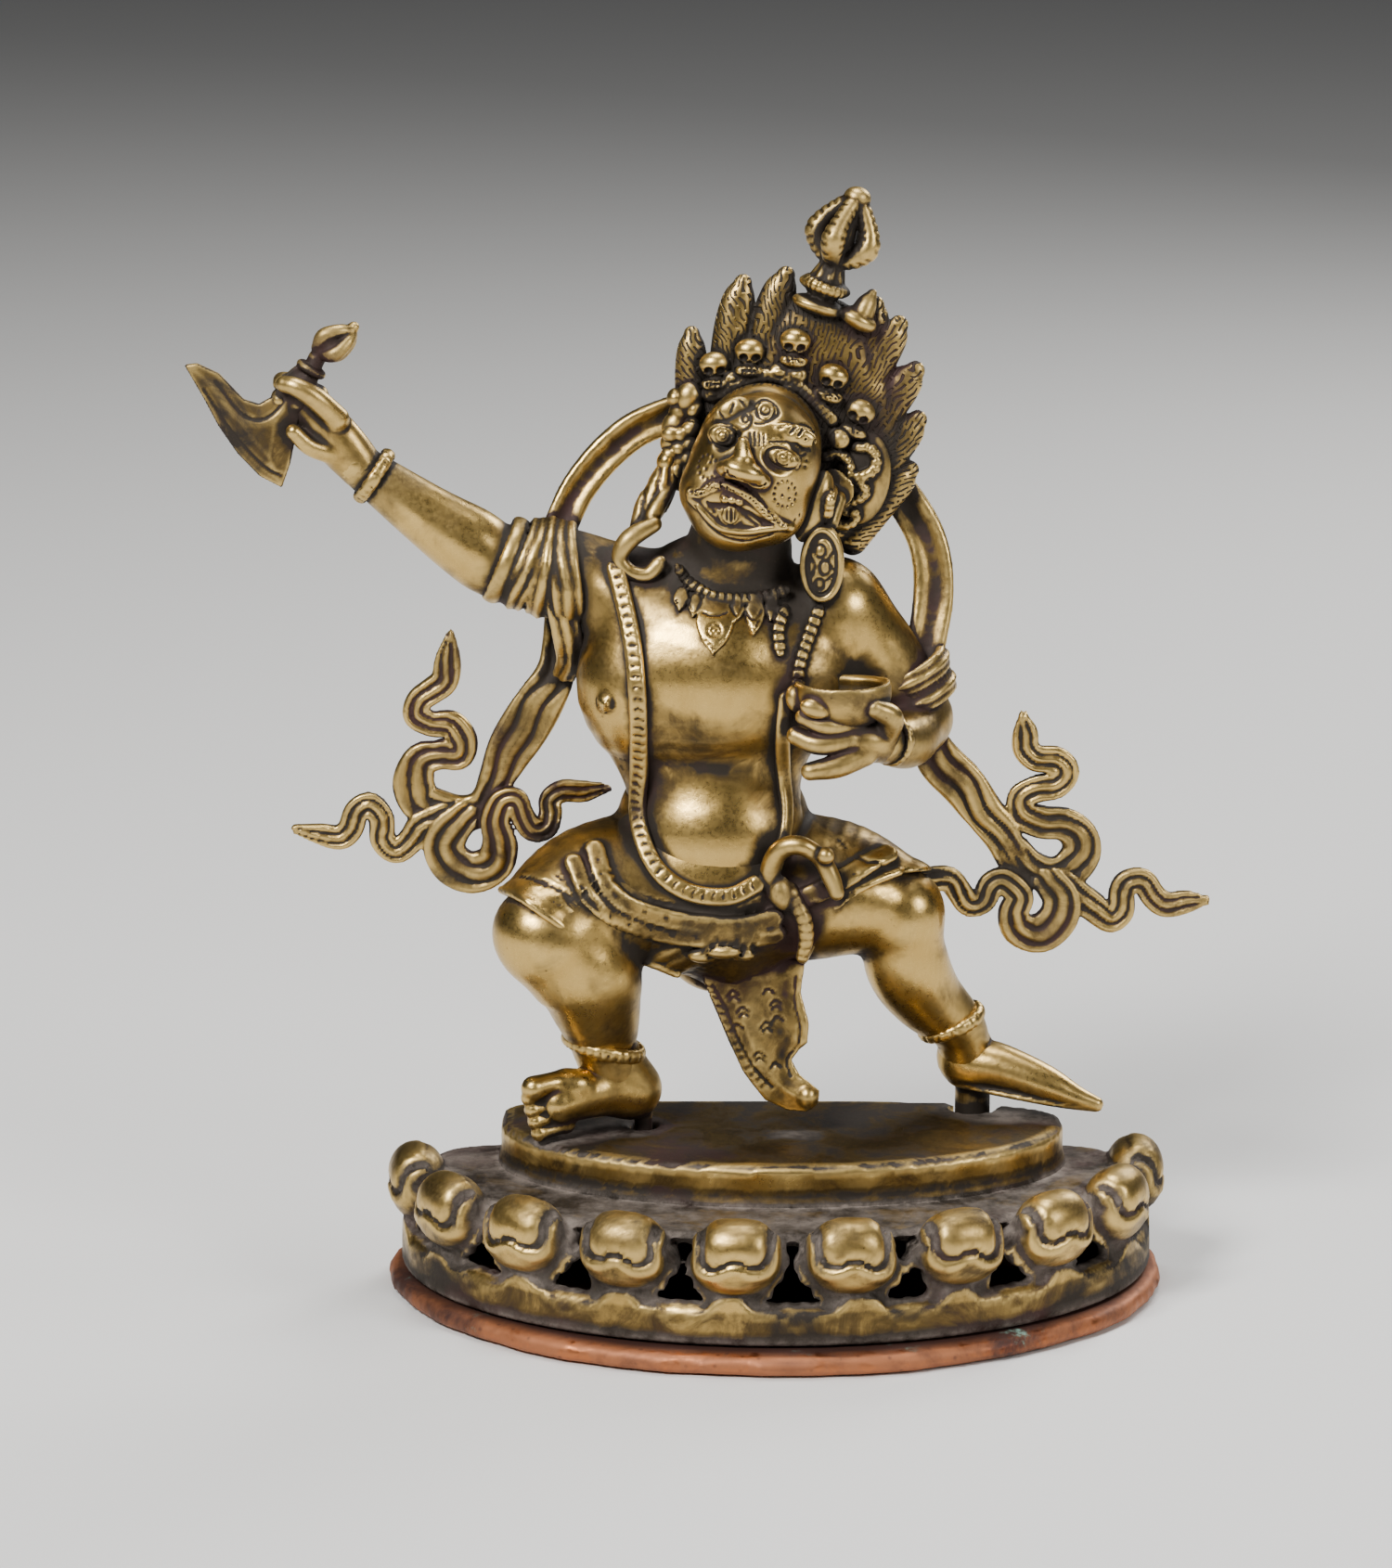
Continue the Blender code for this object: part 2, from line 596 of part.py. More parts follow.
def model_head(clay):
    """The round wrathful face with the nose, brows and bulging eyes as forms of their own."""
    x, y, z = HEAD
    lean = math.radians(HEAD_TILT)

    def on_face(side, out, up):
        """A point of the face: to its right in the photograph, out of it, and towards its crown."""
        return (
            x + side * math.cos(lean) + up * math.sin(lean),
            y - out,
            z - side * math.sin(lean) + up * math.cos(lean),
        )

    clay.ball((x, y, z), (14.8, 14.5, 18.4), tilt=HEAD_TILT)
    clay.ball(on_face(-6.5, 6.0, -7.0), (8.0, 7.8, 8.0), tilt=HEAD_TILT)
    clay.ball(on_face(6.0, 6.0, -7.0), (8.4, 7.8, 8.0), tilt=HEAD_TILT)
    clay.ball(on_face(-1.0, 5.0, -13.0), (9.5, 8.0, 6.0), tilt=HEAD_TILT)
    clay.limb([
        (*on_face(-1.5, 13.0, 4.5), 1.6), (*on_face(-2.5, 15.5, 0.5), 2.1), (*on_face(-3.4, 17.0, -2.6), 2.8),
    ])
    for side in (-1, 1):
        clay.ball(on_face(-3.4 + side * 2.6, 15.0, -3.2), (2.1, 2.2, 1.7), tilt=HEAD_TILT)
        clay.ball(on_face(-1.6 + side * 7.4, 12.2, 4.9), (3.6, 2.4, 2.8), tilt=HEAD_TILT)
        clay.strap([
            (*on_face(-1.6 + side * 2.6, 14.2, 8.4), 1.6, 1.5),
            (*on_face(-1.6 + side * 7.2, 12.6, 9.8), 2.2, 1.6),
            (*on_face(-1.6 + side * 11.0, 9.6, 8.2), 1.2, 1.4),
        ])
    clay.ball(on_face(-1.5, 13.0, 12.0), (2.2, 1.8, 3.0), tilt=HEAD_TILT)
    clay.strap([
        (*on_face(-11.5, 9.5, -9.0), 1.2, 1.2), (*on_face(-5.0, 14.0, -6.6), 1.6, 1.6),
        (*on_face(0.0, 15.2, -8.4), 1.6, 1.6), (*on_face(6.0, 14.0, -8.0), 1.6, 1.6),
        (*on_face(12.0, 9.5, -11.0), 1.2, 1.2),
    ])
    clay.strap([
        (*on_face(-11.0, 9.0, -10.5), 1.0, 1.4), (*on_face(-4.0, 12.6, -15.0), 1.5, 1.6),
        (*on_face(4.0, 12.6, -15.8), 1.5, 1.6), (*on_face(11.0, 9.0, -12.0), 1.0, 1.4),
    ])
    return on_face


def model_hair(clay, on_face):
    """The flaming hair, a fan of tapering tongues behind the head, and the crown of five skulls."""
    clay.ball((4.0, 0.0, 163.0), (24.0, 6.5, 25.0), tilt=HEAD_TILT)
    clay.ball((8.5, 0.5, 179.0), (14.5, 5.5, 13.0), tilt=HEAD_TILT)
    clay.ball((19.0, 0.0, 160.0), (10.0, 5.0, 20.0), tilt=-6)
    tongues = [
        ((-21.5, 0.5, 152.0), (-19.3, 1.0, 181.5), 4.2),
        ((-13.0, 0.0, 170.0), (-8.3, 1.0, 192.5), 4.4),
        ((-4.0, 0.0, 174.0), (1.2, 1.0, 194.2), 4.8),
        ((18.5, 0.0, 168.0), (26.8, 1.0, 182.5), 4.6),
        ((19.0, 0.0, 158.0), (30.6, 1.0, 171.8), 4.8),
        ((19.0, 0.0, 148.0), (31.2, 1.0, 161.0), 4.8),
        ((18.0, 0.0, 140.0), (30.6, 1.0, 151.0), 4.6),
        ((15.0, 0.0, 134.0), (27.0, 1.0, 144.5), 4.2),
        ((12.0, -1.0, 140.0), (19.5, 0.0, 134.5), 4.4),
    ]
    for root, tip, wide in tongues:
        middle = tuple((a + b) / 2 for a, b in zip(root, tip))
        near = tuple(a * 0.15 + b * 0.85 for a, b in zip(root, tip))
        clay.strap([
            (*root, wide, 4.0), (*middle, wide * 1.05, 3.6), (*near, wide * 0.62, 2.6),
            (*tip, wide * 0.22, 1.3),
        ])
    for side, up in ((-10.5, 19.5), (-2.5, 22.0), (6.5, 23.0), (14.5, 16.8), (19.4, 9.2)):
        place = on_face(side, 7.0, up)
        clay.ball((place[0], place[1], place[2] + 1.6), (3.0, 2.8, 2.8), tilt=HEAD_TILT)
        clay.ball((place[0], place[1], place[2] - 2.2), (2.6, 2.4, 1.7), tilt=HEAD_TILT)
    band = [
        (-14.5, 4.0, 8.0), (-11.0, 9.0, 14.5), (-3.0, 10.5, 18.6), (5.0, 9.5, 18.4), (12.0, 6.0, 13.0),
        (15.8, 1.0, 6.0),
    ]
    clay.strap([(*on_face(side, out, up), 2.6, 1.8) for side, out, up in band])


def model_finial(clay):
    """The thunderbolt on the crown: two discs, a cone and four prongs that close round a core."""
    foot = Vector((9.4, -2.0, 190.5))
    axis = Vector((0.34, 0.02, 0.94)).normalized()
    side = Vector((0.94, 0, -0.34)).normalized()
    front = side.cross(axis)

    def at(up, right=0.0, out=0.0):
        return tuple(foot + axis * up + side * right + front * out)

    clay.ball(at(-0.3), (6.2, 4.6, 2.0), tilt=16)
    clay.ball(at(3.0), (5.6, 4.2, 2.0), tilt=16)
    clay.limb([(*at(3.5), 4.4), (*at(7.0), 3.6), (*at(9.8), 2.4), (*at(11.5), 2.2)])
    clay.ball((18.8, -3.0, 187.5), (4.6, 3.6, 2.2), tilt=30)
    clay.limb([(19.4, -2.5, 188.5, 2.4), (21.0, -2.0, 191.0, 1.2)])
    clay.limb([(*at(11.0), 2.2), (*at(17.5), 2.0), (*at(24.0), 2.2)])
    for k in range(4):
        angle = math.radians(20 + 90 * k)
        right, out = math.cos(angle), math.sin(angle)
        clay.limb([
            (*at(10.8, 2.0 * right, 2.0 * out), 1.8), (*at(13.6, 7.6 * right, 6.4 * out), 1.9),
            (*at(18.0, 6.4 * right, 5.6 * out), 1.7), (*at(22.4, 2.4 * right, 2.0 * out), 1.7),
        ])
    clay.ball(at(24.2), (2.9, 2.7, 2.4), tilt=16)


def model_ears(clay, on_face):
    """The disc ear ornament on one side, and the curled ornament with its drop on the other."""
    clay.ball((9.5, -18.0, 133.0), (4.9, 2.2, 8.0), tilt=4)
    clay.limb([(11.0, -12.0, 146.0, 2.4), (10.5, -14.0, 141.0, 2.2), (9.5, -16.0, 136.0, 2.4)])
    clay.ball(on_face(15.5, 1.0, -3.0), (4.2, 4.5, 8.0), tilt=HEAD_TILT)
    clay.strap([
        (-23.0, -6.0, 163.0, 3.2, 3.0), (-24.5, -7.0, 155.0, 3.6, 3.0), (-27.5, -9.0, 148.0, 4.0, 3.0),
        (-31.0, -11.0, 141.5, 3.2, 2.6), (-34.5, -13.0, 137.5, 2.2, 2.2),
    ])
    clay.limb([
        (-34.5, -14.0, 138.0, 2.0), (-34.0, -15.0, 133.5, 1.9), (-30.8, -15.0, 130.8, 1.9),
        (-26.5, -14.0, 132.3, 1.9),
    ])


def model_skirt(clay):
    """The skin worn as a skirt over both thighs, its rolled hems, the belt and the hanging tail."""
    clay.strap([
        (-14.6, -6.0, 68.0, 23.0, 16.5), (-15.0, -7.0, 60.0, 28.5, 18.0), (-14.0, -8.0, 52.0, 27.0, 18.0),
        (-9.0, -8.5, 44.0, 17.0, 13.0), (-6.0, -9.0, 38.5, 9.0, 7.0),
    ], sides=24)
    clay.limb([(-24.0, -7.0, 56.5, 17.5), (-42.0, -13.0, 55.5, 14.0), (-51.5, -17.0, 55.0, 10.6)])
    clay.limb([(-2.0, -6.0, 55.0, 17.0), (14.0, -7.0, 56.0, 13.6), (25.0, -8.0, 55.0, 9.6)])
    clay.limb([
        (-62.5, -17.0, 58.0, 1.8), (-57.5, -27.0, 56.5, 2.0), (-46.0, -31.5, 48.5, 2.0),
        (-33.0, -27.0, 39.5, 2.0),
    ])
    clay.limb([
        (32.0, -9.0, 64.0, 1.8), (27.0, -17.0, 58.5, 2.0), (17.0, -21.0, 49.0, 2.0), (8.5, -19.0, 38.0, 2.0),
    ])
    clay.limb([
        (-40.0, -15.0, 66.5, 1.8), (-33.0, -23.0, 60.0, 2.0), (-20.0, -27.0, 53.5, 2.1),
        (-4.0, -27.5, 50.5, 2.0), (4.0, -24.5, 52.0, 1.8),
    ])
    clay.strap([
        (-5.2, -15.0, 46.0, 13.5, 3.0), (-5.0, -15.5, 38.0, 12.2, 2.2), (-3.2, -16.5, 27.0, 9.6, 1.9),
        (0.0, -17.5, 17.5, 7.4, 1.9), (4.2, -19.0, 11.0, 4.6, 2.0), (6.2, -20.0, 8.6, 3.2, 2.0),
    ])
    clay.ball((7.0, -20.0, 9.0), (3.0, 2.6, 3.4))
    for x, size in ((-17.5, 1.6), (-11.2, 2.6), (-6.0, 2.2)):
        clay.ball((x, -24.0, 41.0), (size * 1.4, 2.2, size))


def model_snake(clay):
    """The snake worn as a sash, knotted at the hip, with its head and tail left over."""
    clay.strap([
        (-31.0, -15.0, 126.5, 2.2, 1.8), (-30.0, -21.0, 115.5, 2.3, 1.8), (-29.5, -25.0, 102.0, 2.3, 1.8),
        (-29.8, -22.5, 89.0, 2.3, 1.8), (-29.5, -19.5, 78.0, 2.3, 1.8), (-27.5, -21.5, 69.0, 2.3, 2.0),
        (-21.5, -24.5, 60.5, 2.3, 2.2), (-13.5, -26.0, 56.0, 2.4, 2.3), (-5.0, -26.0, 56.5, 2.3, 2.3),
        (1.5, -24.5, 59.5, 2.0, 2.2),
    ])
    clay.limb([
        (1.0, -23.0, 60.5, 2.1), (0.0, -25.0, 66.5, 2.2), (3.0, -26.5, 70.0, 2.2), (7.5, -27.0, 69.0, 2.1),
        (10.5, -27.5, 65.5, 2.1), (12.5, -28.0, 62.0, 2.4), (13.5, -28.0, 59.5, 1.8),
    ])
    clay.ball((11.8, -29.0, 68.0), (1.8, 1.8, 1.8))
    clay.limb([(2.5, -24.0, 59.0, 2.0), (5.5, -25.0, 53.5, 1.9), (6.0, -25.0, 48.5, 1.8), (5.5, -24.5, 44.0, 1.6)])
    clay.strap([
        (11.0, -14.5, 120.5, 1.9, 1.8), (8.5, -18.5, 113.0, 2.0, 1.8), (6.0, -21.0, 105.5, 2.0, 1.8),
        (4.5, -20.5, 94.0, 1.9, 1.8), (2.8, -17.5, 82.0, 1.9, 1.8), (2.5, -19.0, 70.0, 1.9, 1.8),
    ])


def model_necklace(clay):
    """A beaded collar that lies on the chest, with its pointed pendant."""
    clay.strap([
        (-24.0, -13.5, 130.0, 1.7, 1.8), (-19.0, -18.0, 124.5, 1.9, 1.9), (-10.0, -21.5, 120.5, 1.9, 1.9),
        (0.0, -20.0, 121.0, 1.9, 1.9), (5.0, -16.5, 124.5, 1.7, 1.8),
    ])
    clay.ball((-12.6, -23.0, 112.5), (4.4, 1.9, 5.4))
    clay.ball((-36.5, -23.0, 100.5), (1.7, 1.6, 1.7))


LEFT_TAIL = {
    "band": [
        (-49.5, 4.0, 118.5, 2.8), (-50.0, 3.0, 109.0, 3.0), (-51.0, 2.0, 103.0, 3.6),
        (-54.5, 1.5, 96.0, 4.4), (-58.5, 1.5, 90.0, 4.5), (-61.5, 1.5, 85.0, 4.1), (-64.5, 1.5, 79.0, 3.2),
        (-66.0, 1.5, 75.0, 2.8),
    ],
    "up": [
        (-65.5, 1.5, 76.0, 2.8), (-68.0, 1.5, 72.0, 3.2), (-72.5, 2.0, 70.5, 3.4), (-77.5, 2.0, 71.5, 3.7),
        (-82.0, 2.0, 73.5, 3.8), (-83.5, 2.0, 78.0, 3.8), (-81.5, 2.0, 83.0, 3.2), (-77.0, 2.0, 84.5, 2.7),
        (-73.0, 2.0, 84.5, 2.8), (-72.0, 2.0, 88.0, 2.8), (-74.5, 2.0, 91.5, 2.6), (-79.0, 2.0, 91.5, 2.3),
        (-82.5, 2.0, 93.5, 2.4), (-82.0, 2.0, 97.0, 2.3), (-79.0, 2.0, 99.5, 2.4), (-76.0, 2.0, 102.0, 2.5),
        (-75.0, 2.0, 107.0, 2.3), (-74.5, 2.0, 112.5, 0.8),
    ],
    "down": [
        (-72.0, 1.0, 70.0, 3.0), (-75.0, 1.0, 67.0, 3.6), (-76.5, 1.0, 63.0, 3.8), (-74.5, 1.0, 58.5, 3.9),
        (-70.0, 0.5, 57.0, 3.9), (-65.0, 0.0, 59.5, 3.6), (-63.5, -0.5, 64.5, 3.2),
        (-64.5, -0.5, 69.5, 2.7), (-63.0, -0.5, 73.5, 2.4), (-60.0, -0.5, 74.0, 2.3),
        (-58.5, -0.5, 70.5, 2.2), (-56.0, -0.5, 67.5, 2.2), (-53.0, 0.0, 68.0, 2.2),
        (-52.0, 1.0, 71.0, 2.1), (-52.0, 1.5, 74.0, 2.0), (-49.0, 2.0, 76.0, 2.0), (-44.0, 3.0, 75.5, 1.9),
        (-39.0, 4.0, 76.0, 0.8),
    ],
    "out": [
        (-77.0, 1.5, 70.0, 2.6), (-81.5, 1.5, 68.0, 2.6), (-84.0, 1.5, 64.5, 2.4), (-87.5, 1.5, 62.0, 2.3),
        (-90.5, 1.5, 64.5, 2.3), (-91.0, 1.5, 69.5, 2.3), (-93.5, 1.5, 72.5, 2.3), (-96.5, 1.5, 71.0, 2.3),
        (-98.0, 1.5, 67.0, 2.3), (-100.5, 1.5, 65.0, 2.2), (-105.0, 1.5, 66.0, 1.9),
        (-110.5, 1.5, 67.0, 0.8),
    ],
}
RIGHT_TAIL = {
    "band": [
        (34.5, -1.0, 89.0, 3.2), (37.0, 1.0, 83.5, 4.0), (42.5, 1.5, 77.5, 4.1), (47.5, 1.5, 71.5, 3.7),
        (51.5, 1.5, 66.0, 3.4), (54.5, 1.5, 60.0, 3.0),
    ],
    "up": [
        (55.0, 1.5, 61.5, 3.0), (58.0, 1.5, 58.0, 3.2), (63.0, 1.5, 56.0, 3.3), (67.5, 2.0, 57.0, 3.5),
        (70.0, 2.0, 61.0, 3.6), (69.5, 2.0, 65.0, 3.4), (66.0, 2.0, 68.0, 3.0), (61.0, 2.0, 68.5, 3.0),
        (57.0, 2.0, 70.5, 3.0), (56.5, 2.0, 74.0, 2.6), (59.5, 2.0, 76.0, 2.5), (64.0, 2.0, 77.5, 2.6),
        (66.0, 2.0, 80.5, 2.6), (64.0, 2.0, 83.0, 2.5), (59.5, 2.0, 83.5, 2.4), (57.0, 2.0, 86.0, 2.4),
        (57.0, 2.0, 90.0, 2.2), (56.5, 2.0, 93.5, 0.9),
    ],
    "down": [
        (63.0, 1.0, 54.5, 3.0), (65.5, 1.0, 50.5, 3.4), (65.0, 1.0, 46.0, 3.6), (61.0, 1.0, 42.5, 3.6),
        (56.0, 0.5, 43.5, 3.2), (54.5, 0.0, 47.5, 2.8), (56.0, 0.0, 51.5, 2.5), (52.5, 0.0, 55.0, 2.4),
        (49.5, 0.0, 54.0, 2.4), (47.5, 0.0, 50.5, 2.3), (44.5, -1.0, 50.0, 2.3), (42.0, -1.5, 53.0, 2.3),
        (39.5, -3.0, 56.0, 2.3), (35.5, -4.5, 56.5, 2.3), (31.5, -7.0, 56.5, 2.3),
    ],
    "out": [
        (65.0, 1.5, 54.5, 2.8), (69.0, 1.5, 51.5, 2.7), (73.0, 1.5, 48.5, 2.7), (77.0, 1.5, 45.5, 2.5),
        (79.5, 1.5, 47.5, 2.4), (79.5, 1.5, 52.0, 2.4), (81.0, 1.5, 54.5, 2.3), (84.5, 1.5, 54.5, 2.3),
        (87.0, 1.5, 51.0, 2.3), (90.0, 1.5, 49.0, 2.3), (95.0, 1.5, 49.5, 2.0), (99.0, 1.5, 50.0, 0.8),
    ],
}
ARCH = [
    (-50.5, -1.0, 134.0, 3.8), (-48.5, 2.0, 139.5, 3.8), (-44.5, 5.0, 147.0, 3.9), (-37.5, 7.0, 155.0, 4.0),
    (-29.0, 8.0, 160.5, 4.0), (-14.5, 9.0, 163.5, 4.0), (13.0, 9.0, 159.5, 4.0), (25.0, 7.0, 148.0, 4.2),
    (32.0, 6.0, 138.5, 4.3), (35.0, 4.0, 130.5, 4.4), (35.5, 2.0, 121.0, 4.5), (34.0, -1.0, 111.0, 4.3),
]
SCARF_THICKNESS = 1.5


def model_scarf(clay):
    """The flying scarf: an arch behind the head and, on each side, a band that ends in scrolling tails."""
    clay.strap([(*point, SCARF_THICKNESS) for point in ARCH], steps=6)
    for tail in (LEFT_TAIL, RIGHT_TAIL):
        for points in tail.values():
            clay.strap([(*point, SCARF_THICKNESS) for point in points], steps=5)
    clay.ball((-67.5, 1.5, 88.0), (5.0, 1.4, 3.0))
    clay.ball((62.0, 1.8, 62.5), (5.5, 1.3, 4.0))


def figure(where, material):
    clay = Clay("figure", (0, FIGURE_Y, PLINTH_TOP), where)
    model_torso(clay)
    model_legs(clay)
    model_tenons(clay)
    model_arms(clay)
    model_knife(clay)
    model_cup(clay)
    on_face = model_head(clay)
    model_hair(clay, on_face)
    model_finial(clay)
    model_ears(clay, on_face)
    model_skirt(clay)
    model_snake(clay)
    model_necklace(clay)
    model_scarf(clay)
    return clay.fuse(FIGURE_FACES, material)


def main():
    clear_scene()
    brass = metal(*BRASS)
    copper = metal(*COPPER)
    statue = collection("wrathful_deity_statue")
    cutters = collection("cutters", shown=False)
    figure(statue, brass)
    lotus_base(statue, cutters, brass)
    base_plate(statue, cutters, copper)
    for tool in list(cutters.objects):
        tool.hide_render = True
        tool.display_type = "WIRE"


main()
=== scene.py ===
"""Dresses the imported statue: a striding wrathful deity cast in brass, on a pierced lotus base."""

import math

import bpy
import numpy as np
from mathutils import Matrix, Vector


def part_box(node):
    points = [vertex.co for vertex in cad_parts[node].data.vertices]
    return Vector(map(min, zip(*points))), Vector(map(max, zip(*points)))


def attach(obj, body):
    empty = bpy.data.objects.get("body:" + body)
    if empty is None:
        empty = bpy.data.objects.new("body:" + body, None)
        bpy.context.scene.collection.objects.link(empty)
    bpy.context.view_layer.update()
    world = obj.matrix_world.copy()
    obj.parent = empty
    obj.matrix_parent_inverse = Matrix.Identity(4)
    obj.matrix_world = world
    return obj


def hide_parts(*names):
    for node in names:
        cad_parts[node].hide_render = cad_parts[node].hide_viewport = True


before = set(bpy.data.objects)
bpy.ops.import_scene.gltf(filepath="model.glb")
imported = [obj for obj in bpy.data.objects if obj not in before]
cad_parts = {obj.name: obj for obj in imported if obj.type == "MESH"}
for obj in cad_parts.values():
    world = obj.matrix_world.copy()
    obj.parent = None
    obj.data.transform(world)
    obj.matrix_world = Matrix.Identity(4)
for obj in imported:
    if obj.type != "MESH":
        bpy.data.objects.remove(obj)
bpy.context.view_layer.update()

MM = 0.001
PLINTH_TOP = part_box("lotus_base")[1][2] / MM
PLATE_LOW, PLATE_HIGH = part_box("base_plate")
FIGURE_BACK = 32.0  # the figure's own origin behind the plate's centre, in millimetres
HOME = np.array([0.0, FIGURE_BACK, PLINTH_TOP])  # the figure's own origin on the plinth

# The photograph: its size in pixels, and the camera that sees the statue as it does.
PHOTO_WIDTH, PHOTO_HEIGHT = 1500, 1690
FOCAL_PIXELS = 6110
AIM = np.array([-18.5, 32.0, 116.0])
DISTANCE = 1300.0
LOOK_DOWN = math.radians(13.5)
EYE = AIM + DISTANCE * np.array([0.0, -math.cos(LOOK_DOWN), math.sin(LOOK_DOWN)])
AHEAD = (AIM - EYE) / DISTANCE
UP = np.array([0.0, math.sin(LOOK_DOWN), math.cos(LOOK_DOWN)])
RIGHT = np.array([1.0, 0.0, 0.0])
BEFORE_Y, BEHIND_Y = -45.0, 25.0  # every surface that the photograph shows lies between these depths

GRAINS = 11  # grains along the edge of the cubes in which forms are measured
CUBE_REACH = 1.15  # a cube's half diagonal in edges, with a share for distances that are not exact
SKIN_SPARE = 1.5  # how far beyond its own reach a cube may still hold skin, in millimetres
FAR = 9.0  # the distance given to points that no form comes near
GRID_WIDTH = 1 << 20  # more grid cells than any piece has along one axis


# Forms, measured in millimetres from the figure's own origin
class Form:
    """A solid with a signed distance, and the box that it lies in."""

    def __init__(self, low, high, measure):
        self.low = np.asarray(low, float)
        self.high = np.asarray(high, float)
        self.measure = measure


def ball(centre, radii, tilt=0.0):
    """An ellipsoid. tilt leans its top towards +X."""
    centre = np.asarray(centre, float)
    radii = np.asarray(radii if np.ndim(radii) else (radii,) * 3, float)
    axes = np.array(Matrix.Rotation(math.radians(tilt), 3, "Y"))
    reach = np.sqrt(((axes * radii) ** 2).sum(1))

    def measure(points):
        local = (points - centre) @ axes
        first = np.linalg.norm(local / radii, axis=1)
        second = np.linalg.norm(local / radii ** 2, axis=1)
        return np.where(second < 1e-9, -radii.min(), first * (first - 1) / np.maximum(second, 1e-9))

    return Form(centre - reach, centre + reach, measure)


def spline(points, steps, closed=False):
    """A Catmull-Rom curve through rows of numbers."""
    rows = np.asarray(points, float)
    if closed:
        padded = np.vstack([rows[-1], rows, rows[:2]])
    else:
        padded = np.vstack([2 * rows[0] - rows[1], rows, 2 * rows[-1] - rows[-2]])
    t = (np.arange(steps) / steps)[:, None]
    parts = []
    for a, b, c, d in zip(padded, padded[1:], padded[2:], padded[3:]):
        parts.append(0.5 * (2 * b + (c - a) * t + (2 * a - 5 * b + 4 * c - d) * t ** 2
                            + (3 * b - a - 3 * c + d) * t ** 3))
    if not closed:
        parts.append(rows[-1:])
    return np.vstack(parts)


def sweep(points, facing=(0, -1, 0), steps=6, relief=None, square=False, closed=False):
    """A band or limb along x, y, z, half width, half thickness. relief(s, u, v) raises its surface."""
    path = spline(points, steps, closed)
    if closed:
        path = np.vstack([path, path[:1]])
    middle, wide, thick = path[:, :3], path[:, 3], path[:, 4]
    if path.shape[1] > 5:
        facing = path[:, 5:8]
    along = np.gradient(middle, axis=0)
    if closed:
        along[0] = along[-1] = middle[1] - middle[-2]
    along /= np.linalg.norm(along, axis=1)[:, None] + 1e-12
    across = np.cross(along, np.broadcast_to(np.asarray(facing, float), along.shape))
    across /= np.linalg.norm(across, axis=1)[:, None] + 1e-12
    out = np.cross(across, along)
    start, step = middle[:-1], middle[1:] - middle[:-1]
    length2 = (step ** 2).sum(1) + 1e-12
    travelled = np.concatenate([[0], np.cumsum(np.sqrt(length2))])
    reach = np.maximum(wide, thick)
    bulge = 0.6 if relief else 0.0

    def measure(points):
        near = np.linalg.norm(middle - points.mean(0), axis=1) - reach
        spread = np.linalg.norm(points - points.mean(0), axis=1).max()
        keep = np.flatnonzero(near <= near.min() + 2 * spread + 1e-6)
        low, high = max(keep.min() - 1, 0), min(keep.max() + 1, len(start))
        s0, ab, l2 = start[low:high], step[low:high], length2[low:high]
        share = np.clip((points @ ab.T - (s0 * ab).sum(1)) / l2, 0, 1)
        gap = ((points[:, None] - s0[None] - share[:, :, None] * ab[None]) ** 2).sum(2)
        which = gap.argmin(1)
        t = share[np.arange(len(points)), which][:, None]
        j = which + low

        def blend(values):
            return values[j] * (1 - t) + values[j + 1] * t

        w = blend(wide[:, None])[:, 0]
        h = blend(thick[:, None])[:, 0]
        side, front, ahead = blend(across), blend(out), blend(along)
        offset = points - blend(middle)
        u, v, e = (offset * side).sum(1), (offset * front).sum(1), (offset * ahead).sum(1)
        if square:
            edge = np.minimum(h, w) * 0.75
            du = np.maximum(np.hypot(u, e) - w + edge, 0)
            dv = np.maximum(np.abs(v) - h + edge, 0)
            inside = np.minimum(np.maximum(np.abs(u) - w, np.abs(v) - h), 0)
            distance = np.where((du > 0) | (dv > 0), np.hypot(du, dv) - edge, inside)
        else:
            first = np.sqrt((u / w) ** 2 + (v / h) ** 2 + (e / w) ** 2)
            second = np.sqrt((u / w ** 2) ** 2 + (v / h ** 2) ** 2 + (e / w ** 2) ** 2)
            distance = np.where(second < 1e-9, -h, first * (first - 1) / np.maximum(second, 1e-9))
        if relief:
            close = np.abs(distance) < 2.5
            s = travelled[j] + t[:, 0] * np.sqrt(length2[j])
            raised = relief(s, u / w, v / h)
            distance = np.where(close, distance - raised, distance)
        return distance

    margin = reach.max() + bulge
    return Form(middle.min(0) - margin, middle.max(0) + margin, measure)


def tube(points, relief=None):
    """A round limb along x, y, z, radius."""
    rows = [(x, y, z, r, r) for x, y, z, r in points]
    return sweep(rows, (0.13, -1, 0.21), relief=relief)


def ring(centre, axis, radius, thick, squash=1.0, relief=None, wide=None):
    """A bangle of round section about an axis, or of flat section where wide is given."""
    turn = np.array(Vector(axis).to_track_quat("Z", "Y").to_matrix())
    rows = []
    for k in range(20):
        angle = math.tau * k / 20
        outward = turn @ np.array([math.cos(angle), squash * math.sin(angle), 0])
        spot = np.asarray(centre, float) + outward * radius
        rows.append((*spot, wide or thick, thick, *outward))
    return sweep(rows, steps=4, relief=relief, closed=True)


